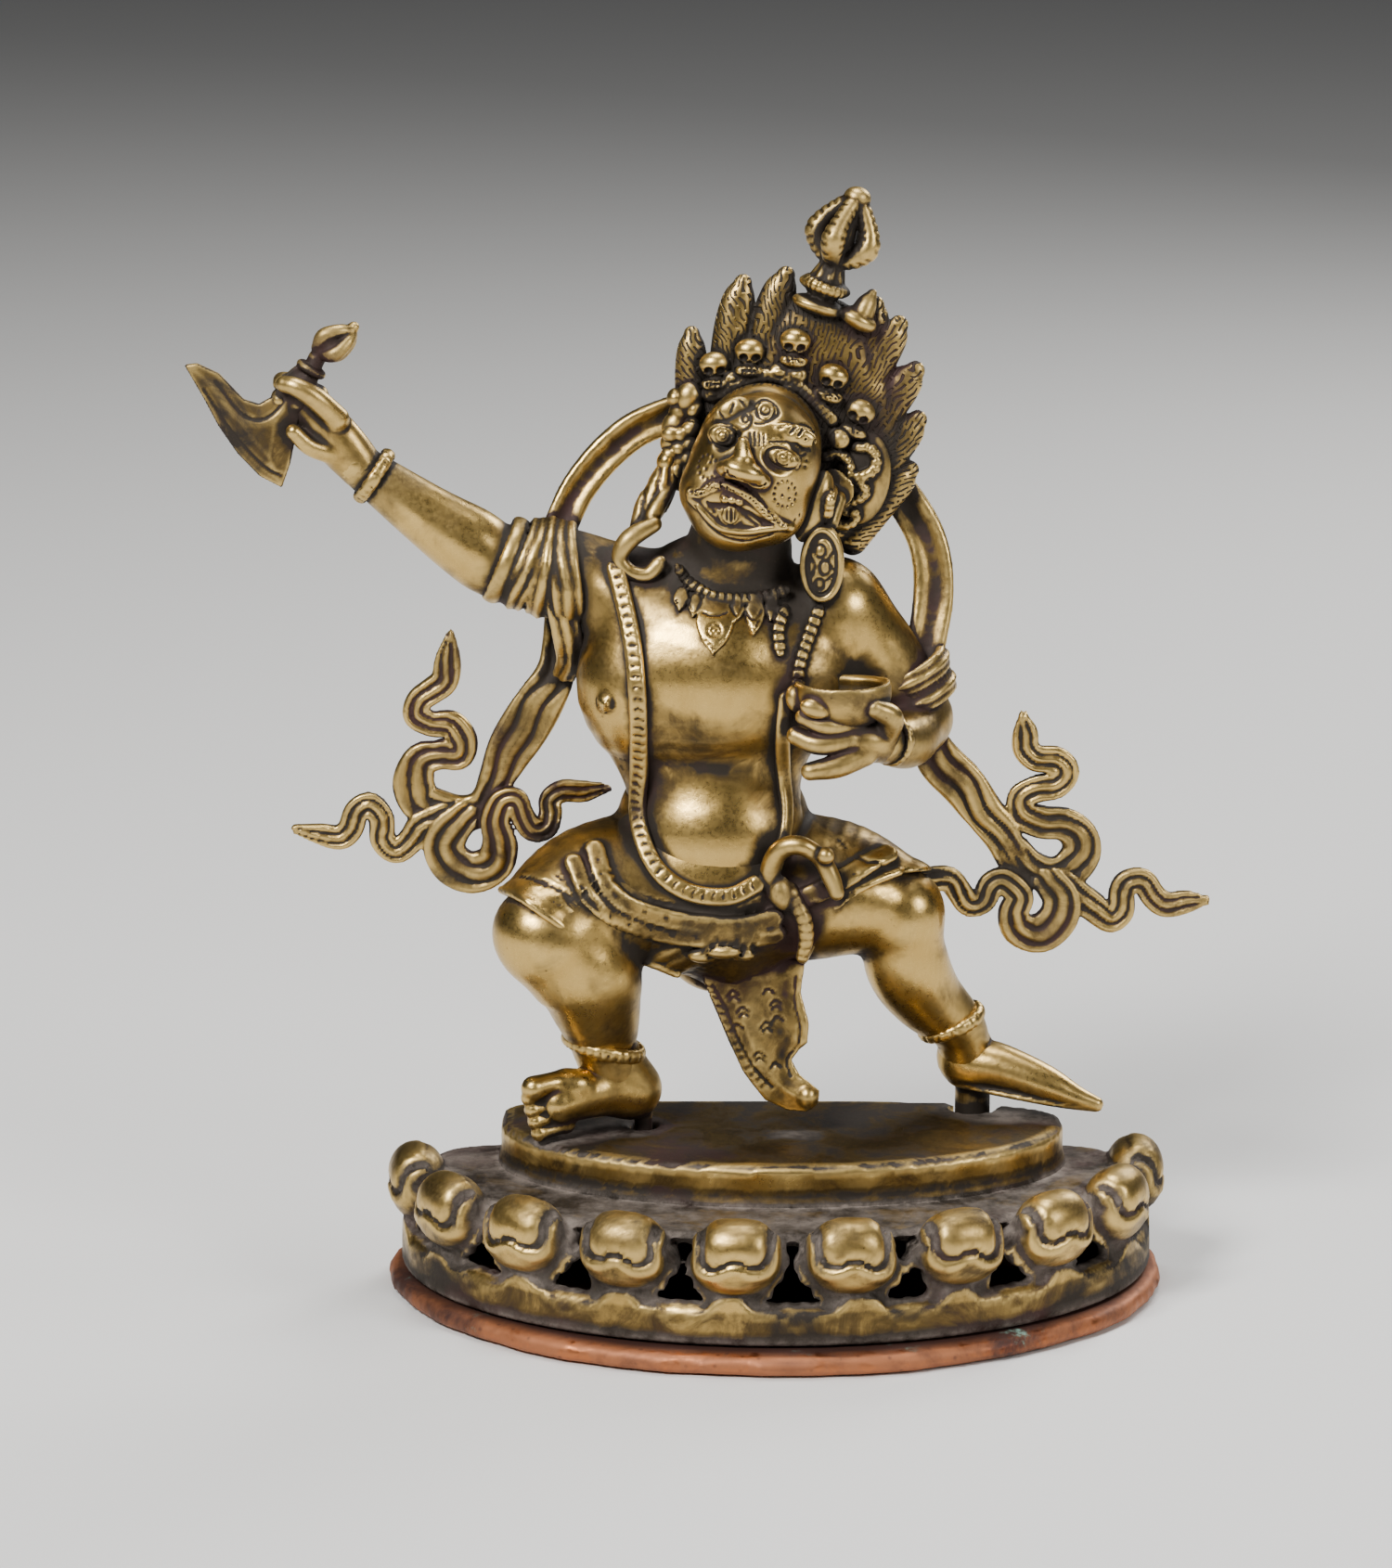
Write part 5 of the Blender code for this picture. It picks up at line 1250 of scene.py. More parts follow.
# The scarf's tails: x, y, z and half width along each strand
LEFT_TAIL = {
    "band": [
        (-49.5, 4, 118.5, 2.8), (-50, 3, 109, 3), (-51, 2, 103, 3.6),
        (-54.5, 1.5, 96, 4.4), (-58.5, 1.5, 90, 4.5), (-61.5, 1.5, 85, 4.1), (-64.5, 1.5, 79, 3.2),
        (-66, 1.5, 75, 2.8),
    ],
    "up": [
        (-65.5, 1.5, 76, 2.8), (-68, 1.5, 72, 3.2), (-72.5, 2, 70.5, 3.4), (-77.5, 2, 71.5, 3.7),
        (-82, 2, 73.5, 3.8), (-83.5, 2, 78, 3.8), (-81.5, 2, 83, 3.2), (-77, 2, 84.5, 2.7),
        (-73, 2, 84.5, 2.8), (-72, 2, 88, 2.8), (-74.5, 2, 91.5, 2.6), (-79, 2, 91.5, 2.3),
        (-82.5, 2, 93.5, 2.4), (-82, 2, 97, 2.3), (-79, 2, 99.5, 2.4), (-76, 2, 102, 2.5),
        (-75, 2, 107, 2.3), (-74.5, 2, 112.5, 0.8),
    ],
    "down": [
        (-72, 1, 70, 3), (-75, 1, 67, 3.6), (-76.5, 1, 63, 3.8), (-74.5, 1, 58.5, 3.9),
        (-70, 0.5, 57, 3.9), (-65, 0, 59.5, 3.6), (-63.5, -0.5, 64.5, 3.2),
        (-64.5, -0.5, 69.5, 2.7), (-63, -0.5, 73.5, 2.4), (-60, -0.5, 74, 2.3),
        (-58.5, -0.5, 70.5, 2.2), (-56, -0.5, 67.5, 2.2), (-53, 0, 68, 2.2),
        (-52, 1, 71, 2.1), (-52, 1.5, 74, 2), (-49, 2, 76, 2), (-44, 3, 75.5, 1.9),
        (-39, 4, 76, 0.8),
    ],
    "out": [
        (-77, 1.5, 70, 2.6), (-81.5, 1.5, 68, 2.6), (-84, 1.5, 64.5, 2.4), (-87.5, 1.5, 62, 2.3),
        (-90.5, 1.5, 64.5, 2.3), (-91, 1.5, 69.5, 2.3), (-93.5, 1.5, 72.5, 2.3), (-96.5, 1.5, 71, 2.3),
        (-98, 1.5, 67, 2.3), (-100.5, 1.5, 65, 2.2), (-105, 1.5, 66, 1.9),
        (-110.5, 1.5, 67, 0.8),
    ],
}
RIGHT_TAIL = {
    "band": [
        (34.5, -1, 89, 3.2), (37, 1, 83.5, 4), (42.5, 1.5, 77.5, 4.1), (47.5, 1.5, 71.5, 3.7),
        (51.5, 1.5, 66, 3.4), (54.5, 1.5, 60, 3),
    ],
    "up": [
        (55, 1.5, 61.5, 3), (58, 1.5, 58, 3.2), (63, 1.5, 56, 3.3), (67.5, 2, 57, 3.5),
        (70, 2, 61, 3.6), (69.5, 2, 65, 3.4), (66, 2, 68, 3), (61, 2, 68.5, 3),
        (57, 2, 70.5, 3), (56.5, 2, 74, 2.6), (59.5, 2, 76, 2.5), (64, 2, 77.5, 2.6),
        (66, 2, 80.5, 2.6), (64, 2, 83, 2.5), (59.5, 2, 83.5, 2.4), (57, 2, 86, 2.4),
        (57, 2, 90, 2.2), (56.5, 2, 93.5, 0.9),
    ],
    "down": [
        (63, 1, 54.5, 3), (65.5, 1, 50.5, 3.4), (65, 1, 46, 3.6), (61, 1, 42.5, 3.6),
        (56, 0.5, 43.5, 3.2), (54.5, 0, 47.5, 2.8), (56, 0, 51.5, 2.5), (52.5, 0, 55, 2.4),
        (49.5, 0, 54, 2.4), (47.5, 0, 50.5, 2.3), (44.5, -1, 50, 2.3), (42, -1.5, 53, 2.3),
        (39.5, -3, 56, 2.3), (35.5, -4.5, 56.5, 2.3), (31.5, -7, 56.5, 2.3),
    ],
    "out": [
        (65, 1.5, 54.5, 2.8), (69, 1.5, 51.5, 2.7), (73, 1.5, 48.5, 2.7), (77, 1.5, 45.5, 2.5),
        (79.5, 1.5, 47.5, 2.4), (79.5, 1.5, 52, 2.4), (81, 1.5, 54.5, 2.3), (84.5, 1.5, 54.5, 2.3),
        (87, 1.5, 51, 2.3), (90, 1.5, 49, 2.3), (95, 1.5, 49.5, 2), (99, 1.5, 50, 0.8),
    ],
}
ARCH = [
    (-50.5, -1, 134, 3.8), (-48.5, 2, 139.5, 3.8), (-44.5, 5, 147, 3.9), (-37.5, 7, 155, 4),
    (-29, 8, 160.5, 4), (-14.5, 9, 163.5, 4), (13, 9, 159.5, 4), (25, 7, 148, 4.2),
    (32, 6, 138.5, 4.3), (35, 4, 130.5, 4.4), (35.5, 2, 121, 4.5), (34, -1, 111, 4.3),
]


def pleats(s, u, v):
    """Three ridges along the scarf with grooves between them, waving a little."""
    drift = 0.16 * np.sin(s / 5.3) + 0.1 * np.sin(s / 2.3 + 1)
    ridge = np.abs(np.cos(math.pi * 1.2 * (u + drift)))
    return 0.8 * (ridge - 0.55) * np.clip(np.abs(v) * 1.5, 0, 1)


def hems(s, u, v):
    """The arch's raised hems with a wide groove between them."""
    wave = np.cos(math.pi * 1.25 * (u + 0.08 * np.sin(s / 6)))
    return -0.45 * wave * np.clip(np.abs(v) * 1.5, 0, 1)


def scarf_tail(tail):
    """One tail of the flying scarf, four strands that leave a common root."""
    clay = Clay(0.56)
    for points in tail.values():
        rows = [(x, y, z, half * SCARF_SPREAD, SCARF_HALF) for x, y, z, half in points]
        clay.add(sweep(rows, relief=pleats, square=True, steps=4), 0.25)
    return clay


def scarf_arch():
    """The scarf's arch behind the head."""
    clay = Clay(0.7)
    clay.add(sweep([(*point, SCARF_HALF * 1.1) for point in ARCH], relief=hems, square=True, steps=5))
    return clay


# Lotus base and plate, in the figure's frame: z 0 is the plinth's top
WIDEST = -7.5
PLATE_HALF, PLATE_DEPTH, BACK_SHARE = 90.2, 98.0, 0.25
RING_HALF, RING_FRONT, RING_BACK = 86.8, 66.5, 21.1
PLINTH_HALF, PLINTH_FRONT, PLINTH_BACK, PLINTH_SHIFT = 64.9, 36.9, 16.1, 1.4
PLINTH_CORNERS = (6.5, 2.8)
BACK_SQUARENESS = 3.4
BASE_FOOT, BAND_TOP, PIERCED_TOP, SHOULDER = -32.54, -24.24, -17.24, -9.8
BAND_STEP, WALL = 2.2, 2.8
PETAL_PITCH, PETAL_COUNT, PETAL_SHIFT, PETAL_MIDDLE = 26.2, 10, 3.2, -12.9
PLATE_SHEET = 1.4
PEG_PLAY = 1.0  # the gap round each tenon where it goes through the plinth


def d_shape(points, half, front, back, corners=(BACK_SQUARENESS, BACK_SQUARENESS), shift=0.0):
    """Signed distance in plan from an outline, elliptic in front of its widest line and squarer behind."""
    x, y = points[:, 0] - shift, points[:, 1] - WIDEST
    power = np.where(y < 0, 2, np.where(x < 0, *corners))
    depth = np.where(y < 0, front, back)
    a, b = np.abs(x) / half + 1e-6, np.abs(y) / depth + 1e-6
    g = (a ** power + b ** power) ** (1 / power)
    slope = np.hypot(a ** (power - 1) / half, b ** (power - 1) / depth) * g ** (1 - power)
    return (g - 1) / slope


def ring_wall(inset_at):
    """The lotus ring's outer skin, set in by a distance that follows the height."""
    heights, insets = np.array(inset_at).T

    def measure(points):
        inset = np.interp(points[:, 2], heights, insets)
        flat = d_shape(points, RING_HALF, RING_FRONT, RING_BACK) + inset
        ends = np.maximum(heights[0] - points[:, 2], points[:, 2] - heights[-1])
        return smooth_max(flat * 0.9, ends, 0.8)

    low = (-RING_HALF - 1, WIDEST - RING_FRONT - 1, heights[0])
    high = (RING_HALF + 1, WIDEST + RING_BACK + 1, heights[-1])
    return Form(low, high, measure)


def ring_sites():
    """Centres of the petals and of the piercings between them, with their outward ways."""
    outline = []
    for k in range(720):
        angle = -math.pi / 2 + math.tau * k / 720
        c, s = math.cos(angle), math.sin(angle)
        if s < 0:
            outline.append((RING_HALF * c, WIDEST + RING_FRONT * s))
        else:
            p = 2 / BACK_SQUARENESS
            outline.append((math.copysign(abs(c) ** p, c) * RING_HALF, WIDEST + RING_BACK * s ** p))
    loop = np.array(outline + outline[:1])
    travelled = np.concatenate([[0], np.cumsum(np.linalg.norm(np.diff(loop, axis=0), axis=1))])

    def site(distance):
        distance %= travelled[-1]
        spot = np.array([np.interp(distance, travelled, loop[:, n]) for n in (0, 1)])
        ahead = np.array([np.interp(distance + 0.5, travelled, loop[:, n]) for n in (0, 1)])
        along = (ahead - spot) / np.linalg.norm(ahead - spot)
        return spot, np.array([along[1], -along[0]])

    first = PETAL_SHIFT - (PETAL_COUNT - 1) / 2 * PETAL_PITCH
    petals = [site(first + k * PETAL_PITCH) for k in range(PETAL_COUNT)]
    gaps = [site(first + (k + 0.5) * PETAL_PITCH) for k in range(PETAL_COUNT - 1)]
    return petals, gaps


def placed(form_measure, spot, out, z, reach):
    """A form measured in a petal's own frame: x along the ring, y outwards, z up."""
    side = np.array([-out[1], out[0], 0])
    axes = np.array([side, [out[0], out[1], 0], [0, 0, 1]])
    centre = np.array([spot[0], spot[1], z])
    return Form(centre - reach, centre + reach, lambda points: form_measure((points - centre) @ axes.T))


def petal(wobble, lean):
    """One bulging petal: a dome above a groove in the shape of a handlebar, and a rolled rim round it."""

    def measure(p):
        x, z = p[:, 0] - lean * p[:, 2], p[:, 2]
        shape = np.abs(x / 9.8) ** 2.4 + np.abs((p[:, 1] + 3.8) / 6.6) ** 2.2 + np.abs(z / 8.6) ** 2.4
        bulb = (np.maximum(shape, 1e-6) ** 0.43 - 1) * 7
        lip = -1.1 + wobble * x / 9 + 1.9 * np.exp(-(x / 3) ** 2)
        inner = smooth_max(np.abs(x) - 7.5, lip - z, 3.6)
        groove = 0.95 * np.exp(-(inner / 0.55) ** 2)
        rim = 0.55 * np.exp(-((inner - 1.9) / 1.2) ** 2)
        dome = 0.35 / (1 + np.exp((inner + 1.2) / 0.6))
        return bulb + (groove - rim - dome) * (p[:, 1] > -5)

    return measure


def scallop(spot, out, height, lean):
    """The wavy lobe of the band under a petal."""
    side = np.array([-out[1], out[0], 0])
    centre = np.array([spot[0], spot[1], BAND_TOP])
    reach = np.array([12, 12, 8])

    def measure(points):
        x, z = (points - centre) @ side, points[:, 2] - BAND_TOP
        edge = 0.2 + height * np.exp(-((x + lean) / 4.4) ** 4)
        edge += 1.5 * np.exp(-((x - 7.8 - lean) / 2.2) ** 2)
        edge -= 0.02 * x * x
        flat = d_shape(points, RING_HALF, RING_FRONT, RING_BACK)
        thick = np.abs(flat + 1.7) - 1.5
        return smooth_max(smooth_max(thick, (z - edge) * 0.8, 0.9), -z - 5, 0.5)

    return Form(centre - reach, centre + reach, measure)


def lotus_ring():
    """The hollow ring of petals, lobes and ragged piercings, lower and plainer behind."""
    clay = Clay(0.95)
    clay.add(ring_wall([
        (BASE_FOOT, 0.2), (BASE_FOOT + 1.2, 0), (BAND_TOP - 1, 0.4), (BAND_TOP + 0.9, BAND_STEP),
        (PIERCED_TOP, BAND_STEP), (SHOULDER - 3.4, BAND_STEP + 1.6), (SHOULDER - 1.2, BAND_STEP + 4.6),
        (SHOULDER + 0.4, BAND_STEP + 7.5),
    ]))
    clay.cut(ring_wall([
        (BASE_FOOT - 6, WALL), (BAND_TOP - WALL, WALL), (BAND_TOP - WALL + 0.9, BAND_STEP + WALL),
        (PIERCED_TOP - WALL, BAND_STEP + WALL), (SHOULDER - WALL, BAND_STEP + 6.5 + WALL),
    ]))
    petals, gaps = ring_sites()
    rng = np.random.default_rng(7)
    for spot, out in petals:
        shape = petal(rng.uniform(-0.9, 0.5), rng.uniform(-0.06, 0.06))
        clay.add(placed(shape, spot, out, PETAL_MIDDLE, 12), 0.8)
        clay.add(scallop(spot, out, rng.uniform(2.3, 3.6), rng.uniform(-1.6, 1.6)), 0.5)
    for spot, out in gaps:
        half, top = 5.9 + rng.uniform(-0.6, 0.8), 8.2 + rng.uniform(-0.8, 0.8)
        phase = rng.uniform(0, 6)

        def hole(p, half=half, top=top, phase=phase):
            x, z = p[:, 0], p[:, 2]
            ragged = 0.35 * np.sin(1.9 * z + phase) + 0.3 * np.sin(2.7 * x + 2 * phase)
            slant = np.abs(x + 0.12 * (phase - 3) * z) - half * (1 - z / top)
            edges = smooth_max(slant * 0.83 + ragged, -z + 0.3 * np.sin(1.7 * x + phase), 0.8)
            return np.maximum(edges, np.abs(p[:, 1] + 2) - 6)

        clay.cut(placed(hole, spot, out, BAND_TOP + 0.9, 10), 0.6)
        wide, lean = rng.uniform(1.6, 3.6), rng.uniform(-0.3, 0.3)

        def gap(p, wide=wide, lean=lean, phase=phase):
            x, z = p[:, 0] + lean * p[:, 2], p[:, 2]
            edge = np.abs(x) - wide * (0.55 + 0.2 * z) + 0.3 * np.sin(2 * z + phase)
            return np.maximum(smooth_max(edge * 0.85, np.abs(z) - 2.6, 0.5), np.abs(p[:, 1] + 5) - 6)

        clay.cut(placed(gap, spot, out, PIERCED_TOP + 4, 11), 0.5)
    return clay


def plinth():
    """The D-shaped step under the feet, hollow like the ring that carries it."""
    clay = Clay(1.3)

    def outside(points):
        flat = d_shape(points, PLINTH_HALF, PLINTH_FRONT, PLINTH_BACK, PLINTH_CORNERS, PLINTH_SHIFT)
        flare = 0.9 * np.clip((SHOULDER + 3 - points[:, 2]) / 3, 0, 1)
        return smooth_max(flat - flare, np.maximum(points[:, 2], SHOULDER - 4 - points[:, 2]), 1)

    def inside(points):
        flat = d_shape(points, PLINTH_HALF - WALL, PLINTH_FRONT - WALL, PLINTH_BACK - WALL, PLINTH_CORNERS,
                       PLINTH_SHIFT)
        return np.maximum(flat, points[:, 2] + WALL)

    low = (-PLINTH_HALF - 2, WIDEST - PLINTH_FRONT - 2, SHOULDER - 4)
    high = (PLINTH_HALF + 4, WIDEST + PLINTH_BACK + 2, 0)
    clay.add(Form(low, high, outside))
    clay.cut(Form(low, high, inside))
    for x, y, top, radius in PEGS:
        half = radius + PEG_PLAY
        clay.cut(sweep([(x, y, -9, half, half), (x, y, 4, half, half)], (0.1, -1, 0.1), 4), 0.3)
    return clay


def copper_plate():
    """A hammered tray with a thick margin."""
    clay = Clay(1.6)
    low, high = np.array(PLATE_LOW) / MM - HOME, np.array(PLATE_HIGH) / MM - HOME
    front, back = PLATE_DEPTH * (1 - BACK_SHARE), PLATE_DEPTH * BACK_SHARE

    def measure(points):
        angle = np.arctan2(points[:, 1] - WIDEST, points[:, 0])
        hammered = 0.28 * np.sin(7 * angle + 1) + 0.2 * np.sin(17 * angle)
        hammered += 0.13 * np.sin(41 * angle + 2)
        flat = d_shape(points, PLATE_HALF, front, back) + 0.65 + hammered
        middle = (low[2] + high[2]) / 2
        half = (high[2] - low[2]) / 2 - 0.02
        lift = 0.12 * np.sin(0.11 * points[:, 0]) * np.clip(1 + flat / 6, 0, 1)
        up = np.abs(points[:, 2] - middle - np.where(points[:, 2] > middle, lift - 0.15, 0)) - half
        return smooth_max(flat, up, 3.4)

    clay.add(Form(low, high, measure))
    inset = WALL + 4

    def pan(points):
        flat = d_shape(points, RING_HALF - inset, RING_FRONT - inset, RING_BACK - inset)
        return np.maximum(flat, low[2] + PLATE_SHEET - points[:, 2])

    clay.cut(Form(low, high + 2, pan), 0.5)
    return clay


# Finishes
class Finish:
    """A Principled material built from short node calls."""

    def __init__(self, name):
        self.material = bpy.data.materials.new(name)
        self.material.use_nodes = True
        self.nodes = self.material.node_tree.nodes
        self.links = self.material.node_tree.links
        self.shader = self.nodes["Principled BSDF"]

    def put(self, socket, value):
        if isinstance(value, bpy.types.NodeSocket):
            self.links.new(value, socket)
        else:
            socket.default_value = value

    def node(self, kind, inputs, out=0, **settings):
        made = self.nodes.new("ShaderNode" + kind)
        for key, value in settings.items():
            setattr(made, key, value)
        for key, value in inputs.items():
            self.put(made.inputs[key], value)
        return made.outputs[out]

    def math(self, operation, a, b=0.0, clamp=False):
        return self.node("Math", {0: a, 1: b}, operation=operation, use_clamp=clamp)

    def sum(self, first, *others):
        for other in others:
            first = self.math("ADD", first, other)
        return first

    def product(self, first, *others):
        for other in others:
            first = self.math("MULTIPLY", first, other)
        return first

    def place(self):
        return self.node("TexCoord", {}, out="Object")

    def attribute(self, name):
        return self.node("Attribute", {}, out="Fac", attribute_name=name)

    def noise(self, scale, detail=5.0, rough=0.6, stretch=(1, 1, 1), shift=0.0, warp=0.0):
        moved = {"Vector": self.place(), "Scale": stretch, "Location": (shift, shift, shift)}
        return self.node("TexNoise", {
            "Vector": self.node("Mapping", moved), "Scale": scale, "Detail": detail, "Roughness": rough,
            "Distortion": warp,
        })

    def spots(self, scale, shift=0.0):
        moved = self.node("Mapping", {"Vector": self.place(), "Location": (shift, shift, shift)})
        return self.node("TexVoronoi", {"Vector": moved, "Scale": scale}, feature="F1")

    def ramp(self, value, low, high, start=0.0, end=1.0):
        return self.node("MapRange", {
            "Value": value, "From Min": low, "From Max": high, "To Min": start, "To Max": end,
        }, clamp=True)

    def mix(self, share, a, b):
        return self.node("Mix", {0: share, 6: a, 7: b}, out=2, data_type="RGBA")

    def finish(self, **values):
        for name, value in values.items():
            self.put(self.shader.inputs[name.replace("_", " ")], value)
        return self.material

    def bump(self, *heights):
        """Adds layers of fine relief, each a height, a strength and a distance in metres."""
        normal = None
        for height, strength, distance in heights:
            inputs = {"Height": height, "Strength": strength, "Distance": distance}
            if normal is not None:
                inputs["Normal"] = normal
            normal = self.node("Bump", inputs)
        return normal


BRIGHT_BRASS, WARM_BRASS = (0.60, 0.40, 0.125, 1), (0.47, 0.305, 0.09, 1)
MELLOW_BRASS, OLD_BRASS = (0.185, 0.122, 0.042, 1), (0.115, 0.077, 0.034, 1)
WORN_BRASS, BRASS_SPECKS = (0.70, 0.49, 0.17, 1), (0.06, 0.04, 0.025, 1)
# The two darkest brass colours paint sooty patina and also painted shade in shut-in corners.
BLACK_SOOT_AND_SHADE, RED_SOOT_AND_SHADE, DUST = (0.026, 0.019, 0.013, 1), (0.046, 0.020, 0.017, 1), (0.19, 0.155, 0.13, 1)
RED_COPPER, BROWN_COPPER = (0.30, 0.093, 0.040, 1), (0.12, 0.043, 0.027, 1)
WORN_COPPER, COPPER_SPECKS = (0.60, 0.22, 0.085, 1), (0.07, 0.035, 0.03, 1)
# The dark copper colour paints tarnished patches and also painted shade where the plate is shut in.
TARNISH_AND_SHADE, VERDIGRIS = (0.065, 0.032, 0.026, 1), (0.16, 0.30, 0.24, 1)
PALE_FLOOR, SKY = (0.74, 0.73, 0.71, 1), (0.62, 0.64, 0.67, 1)
DASH_BAND, DASH_PITCH, DASH_LENGTH = 9.0, 1.25, 3.9  # the rows of engraved dashes, in millimetres
DASHES_BEHIND = -9.0


def patina_and_shade(f):
    """How much patina and painted shade there is: patina most in grooves and hollows, painted shade in
    corners that the figure shuts in, least where handling polishes.
    """
    grooves = f.ramp(f.attribute("fine"), 0.012, 0.10)
    hollows = f.ramp(f.attribute("broad"), 0.0, 0.42, 0.0, 0.8)
    # Painted shade: the more the whole figure shuts a spot in, the darker it is painted.
    corners = f.ramp(f.attribute("shut"), 0.06, 0.60, 0.0, 1.05)
    # Handling polish lightens; the places listed below 0 add painted shade.
    polish_and_shade = f.product(f.attribute("rubbed_and_shaded"), -0.52)
    return f.sum(grooves, hollows, corners, polish_and_shade)


def brass(name="brass", dust=0.0, wear=0.0, dashed=False):
    """Polished, mellow and sooty brass by how much patina and painted shade there is, with dust or engraving
    where asked.
    """
    f = Finish(name)
    cloud = f.noise(38, 7, 0.62, warp=0.4)
    patches = f.noise(85, 6, 0.68, shift=3.0, warp=0.8)
    grain = f.noise(900, 4, 0.7, shift=5.0)
    streaks = f.noise(60, 5, 0.7, (1.0, 1.0, 0.12), shift=7.0, warp=0.3)
    clouds = f.ramp(cloud, 0.36, 0.68, -0.20, 0.42)
    # Patina, random tone and painted shade summed into one darkness.
    dirt_and_shade = f.sum(patina_and_shade(f), 0.15 - wear, clouds, f.ramp(patches, 0.42, 0.72, -0.10, 0.34))
    layers = [(f.noise(260, 5, 0.7), 0.35, 0.00022), (grain, 0.22, 0.00008)]
    if dashed:
        lines = engraved(f)
        dirt_and_shade = f.sum(dirt_and_shade, f.product(lines, 0.75))
        layers.append((f.math("SUBTRACT", 1.0, lines), 1.0, 0.0005))
    # The mellow and darkest layers paint patina and, in shut-in corners, shade.
    dark = f.ramp(dirt_and_shade, 0.42, 0.86)
    film_and_shade = f.ramp(dirt_and_shade, -0.06, 0.42)
    polished = f.ramp(f.attribute("fine"), -0.09, -0.012, 1.0, 0.0)
    bright = f.mix(f.ramp(streaks, 0.35, 0.7), BRIGHT_BRASS, WARM_BRASS)
    mellow = f.mix(f.ramp(patches, 0.4, 0.62), MELLOW_BRASS, OLD_BRASS)
    soot_and_shade = f.mix(f.ramp(f.noise(24, 5, 0.65, shift=11.0), 0.5, 0.64), BLACK_SOOT_AND_SHADE, RED_SOOT_AND_SHADE)
    base = f.mix(film_and_shade, bright, mellow)
    base = f.mix(f.product(polished, 0.7), base, WORN_BRASS)
    base = f.mix(dark, base, soot_and_shade)
    specks = f.ramp(f.spots(420, 2.0), 0.05, 0.16, 1.0, 0.0)
    specks = f.product(specks, f.ramp(patches, 0.5, 0.62), 0.7)
    base = f.mix(specks, base, BRASS_SPECKS)
    uneven = f.ramp(grain, 0.3, 0.7, -0.03, 0.07)
    roughness = f.sum(f.ramp(film_and_shade, 0.0, 1.0, 0.27, 0.40), uneven, f.product(dark, 0.24))
    metallic = f.ramp(dark, 0.35, 1.0, 1.0, 0.55)
    if dust:
        powder = f.ramp(f.attribute("shut"), 0.15, 0.6)
        powder = f.sum(powder, f.ramp(f.attribute("rubbed_and_shaded"), -0.95, -0.6, 0.7, 0.0))
        powder = f.product(powder, f.ramp(f.noise(70, 7, 0.75, shift=17.0), 0.40, 0.62))
        powder = f.math("MULTIPLY", powder, dust, clamp=True)
        base = f.mix(powder, base, DUST)
        roughness = f.sum(roughness, f.product(powder, 0.5))
        metallic = f.math("SUBTRACT", metallic, powder, clamp=True)
    layers.append((f.noise(240, 3, 0.6, (0.06, 1.0, 1.0), shift=9.0), 0.12, 0.00006))
    return f.finish(Base_Color=base, Roughness=roughness, Metallic=metallic, Normal=f.bump(*layers))


def engraved(f):
    """Rows of short engraved dashes that fan out from the crown of the head."""
    x, y, z = f.node("SeparateXYZ", {"Vector": f.place()}).node.outputs
    x = f.math("SUBTRACT", x, (FAN_ROOT[0] + HOME[0]) * MM)
    z = f.math("SUBTRACT", z, (FAN_ROOT[1] + HOME[2]) * MM)
    far = f.math("SQRT", f.sum(f.product(x, x), f.product(z, z)))
    far = f.math("DIVIDE", far, MM)
    drift = f.ramp(f.noise(110, 2, 0.5, shift=31.0), 0.3, 0.7, -0.035, 0.035)
    angle = f.sum(f.math("ARCTAN2", x, z), drift)
    band = f.math("FLOOR", f.math("DIVIDE", far, DASH_BAND))
    rate = f.math("DIVIDE", f.sum(f.product(band, DASH_BAND), 5.0), DASH_PITCH)
    across = f.sum(f.product(angle, rate), f.product(band, 0.37))
    row = f.math("FLOOR", across)
    across = f.math("SUBTRACT", f.math("SUBTRACT", across, row), 0.5)
    slot = f.ramp(f.math("ABSOLUTE", across), 0.13, 0.24, 1.0, 0.0)
    along = f.sum(f.math("DIVIDE", far, DASH_LENGTH), f.product(row, 0.37))
    along = f.math("ABSOLUTE", f.math("SUBTRACT", f.math("FRACT", along), 0.5))
    start = (HOME[1] + DASHES_BEHIND) * MM
    behind = f.ramp(y, start - 0.0012, start, 0.0, 1.0)
    return f.product(slot, behind, f.ramp(along, 0.36, 0.43, 1.0, 0.0))


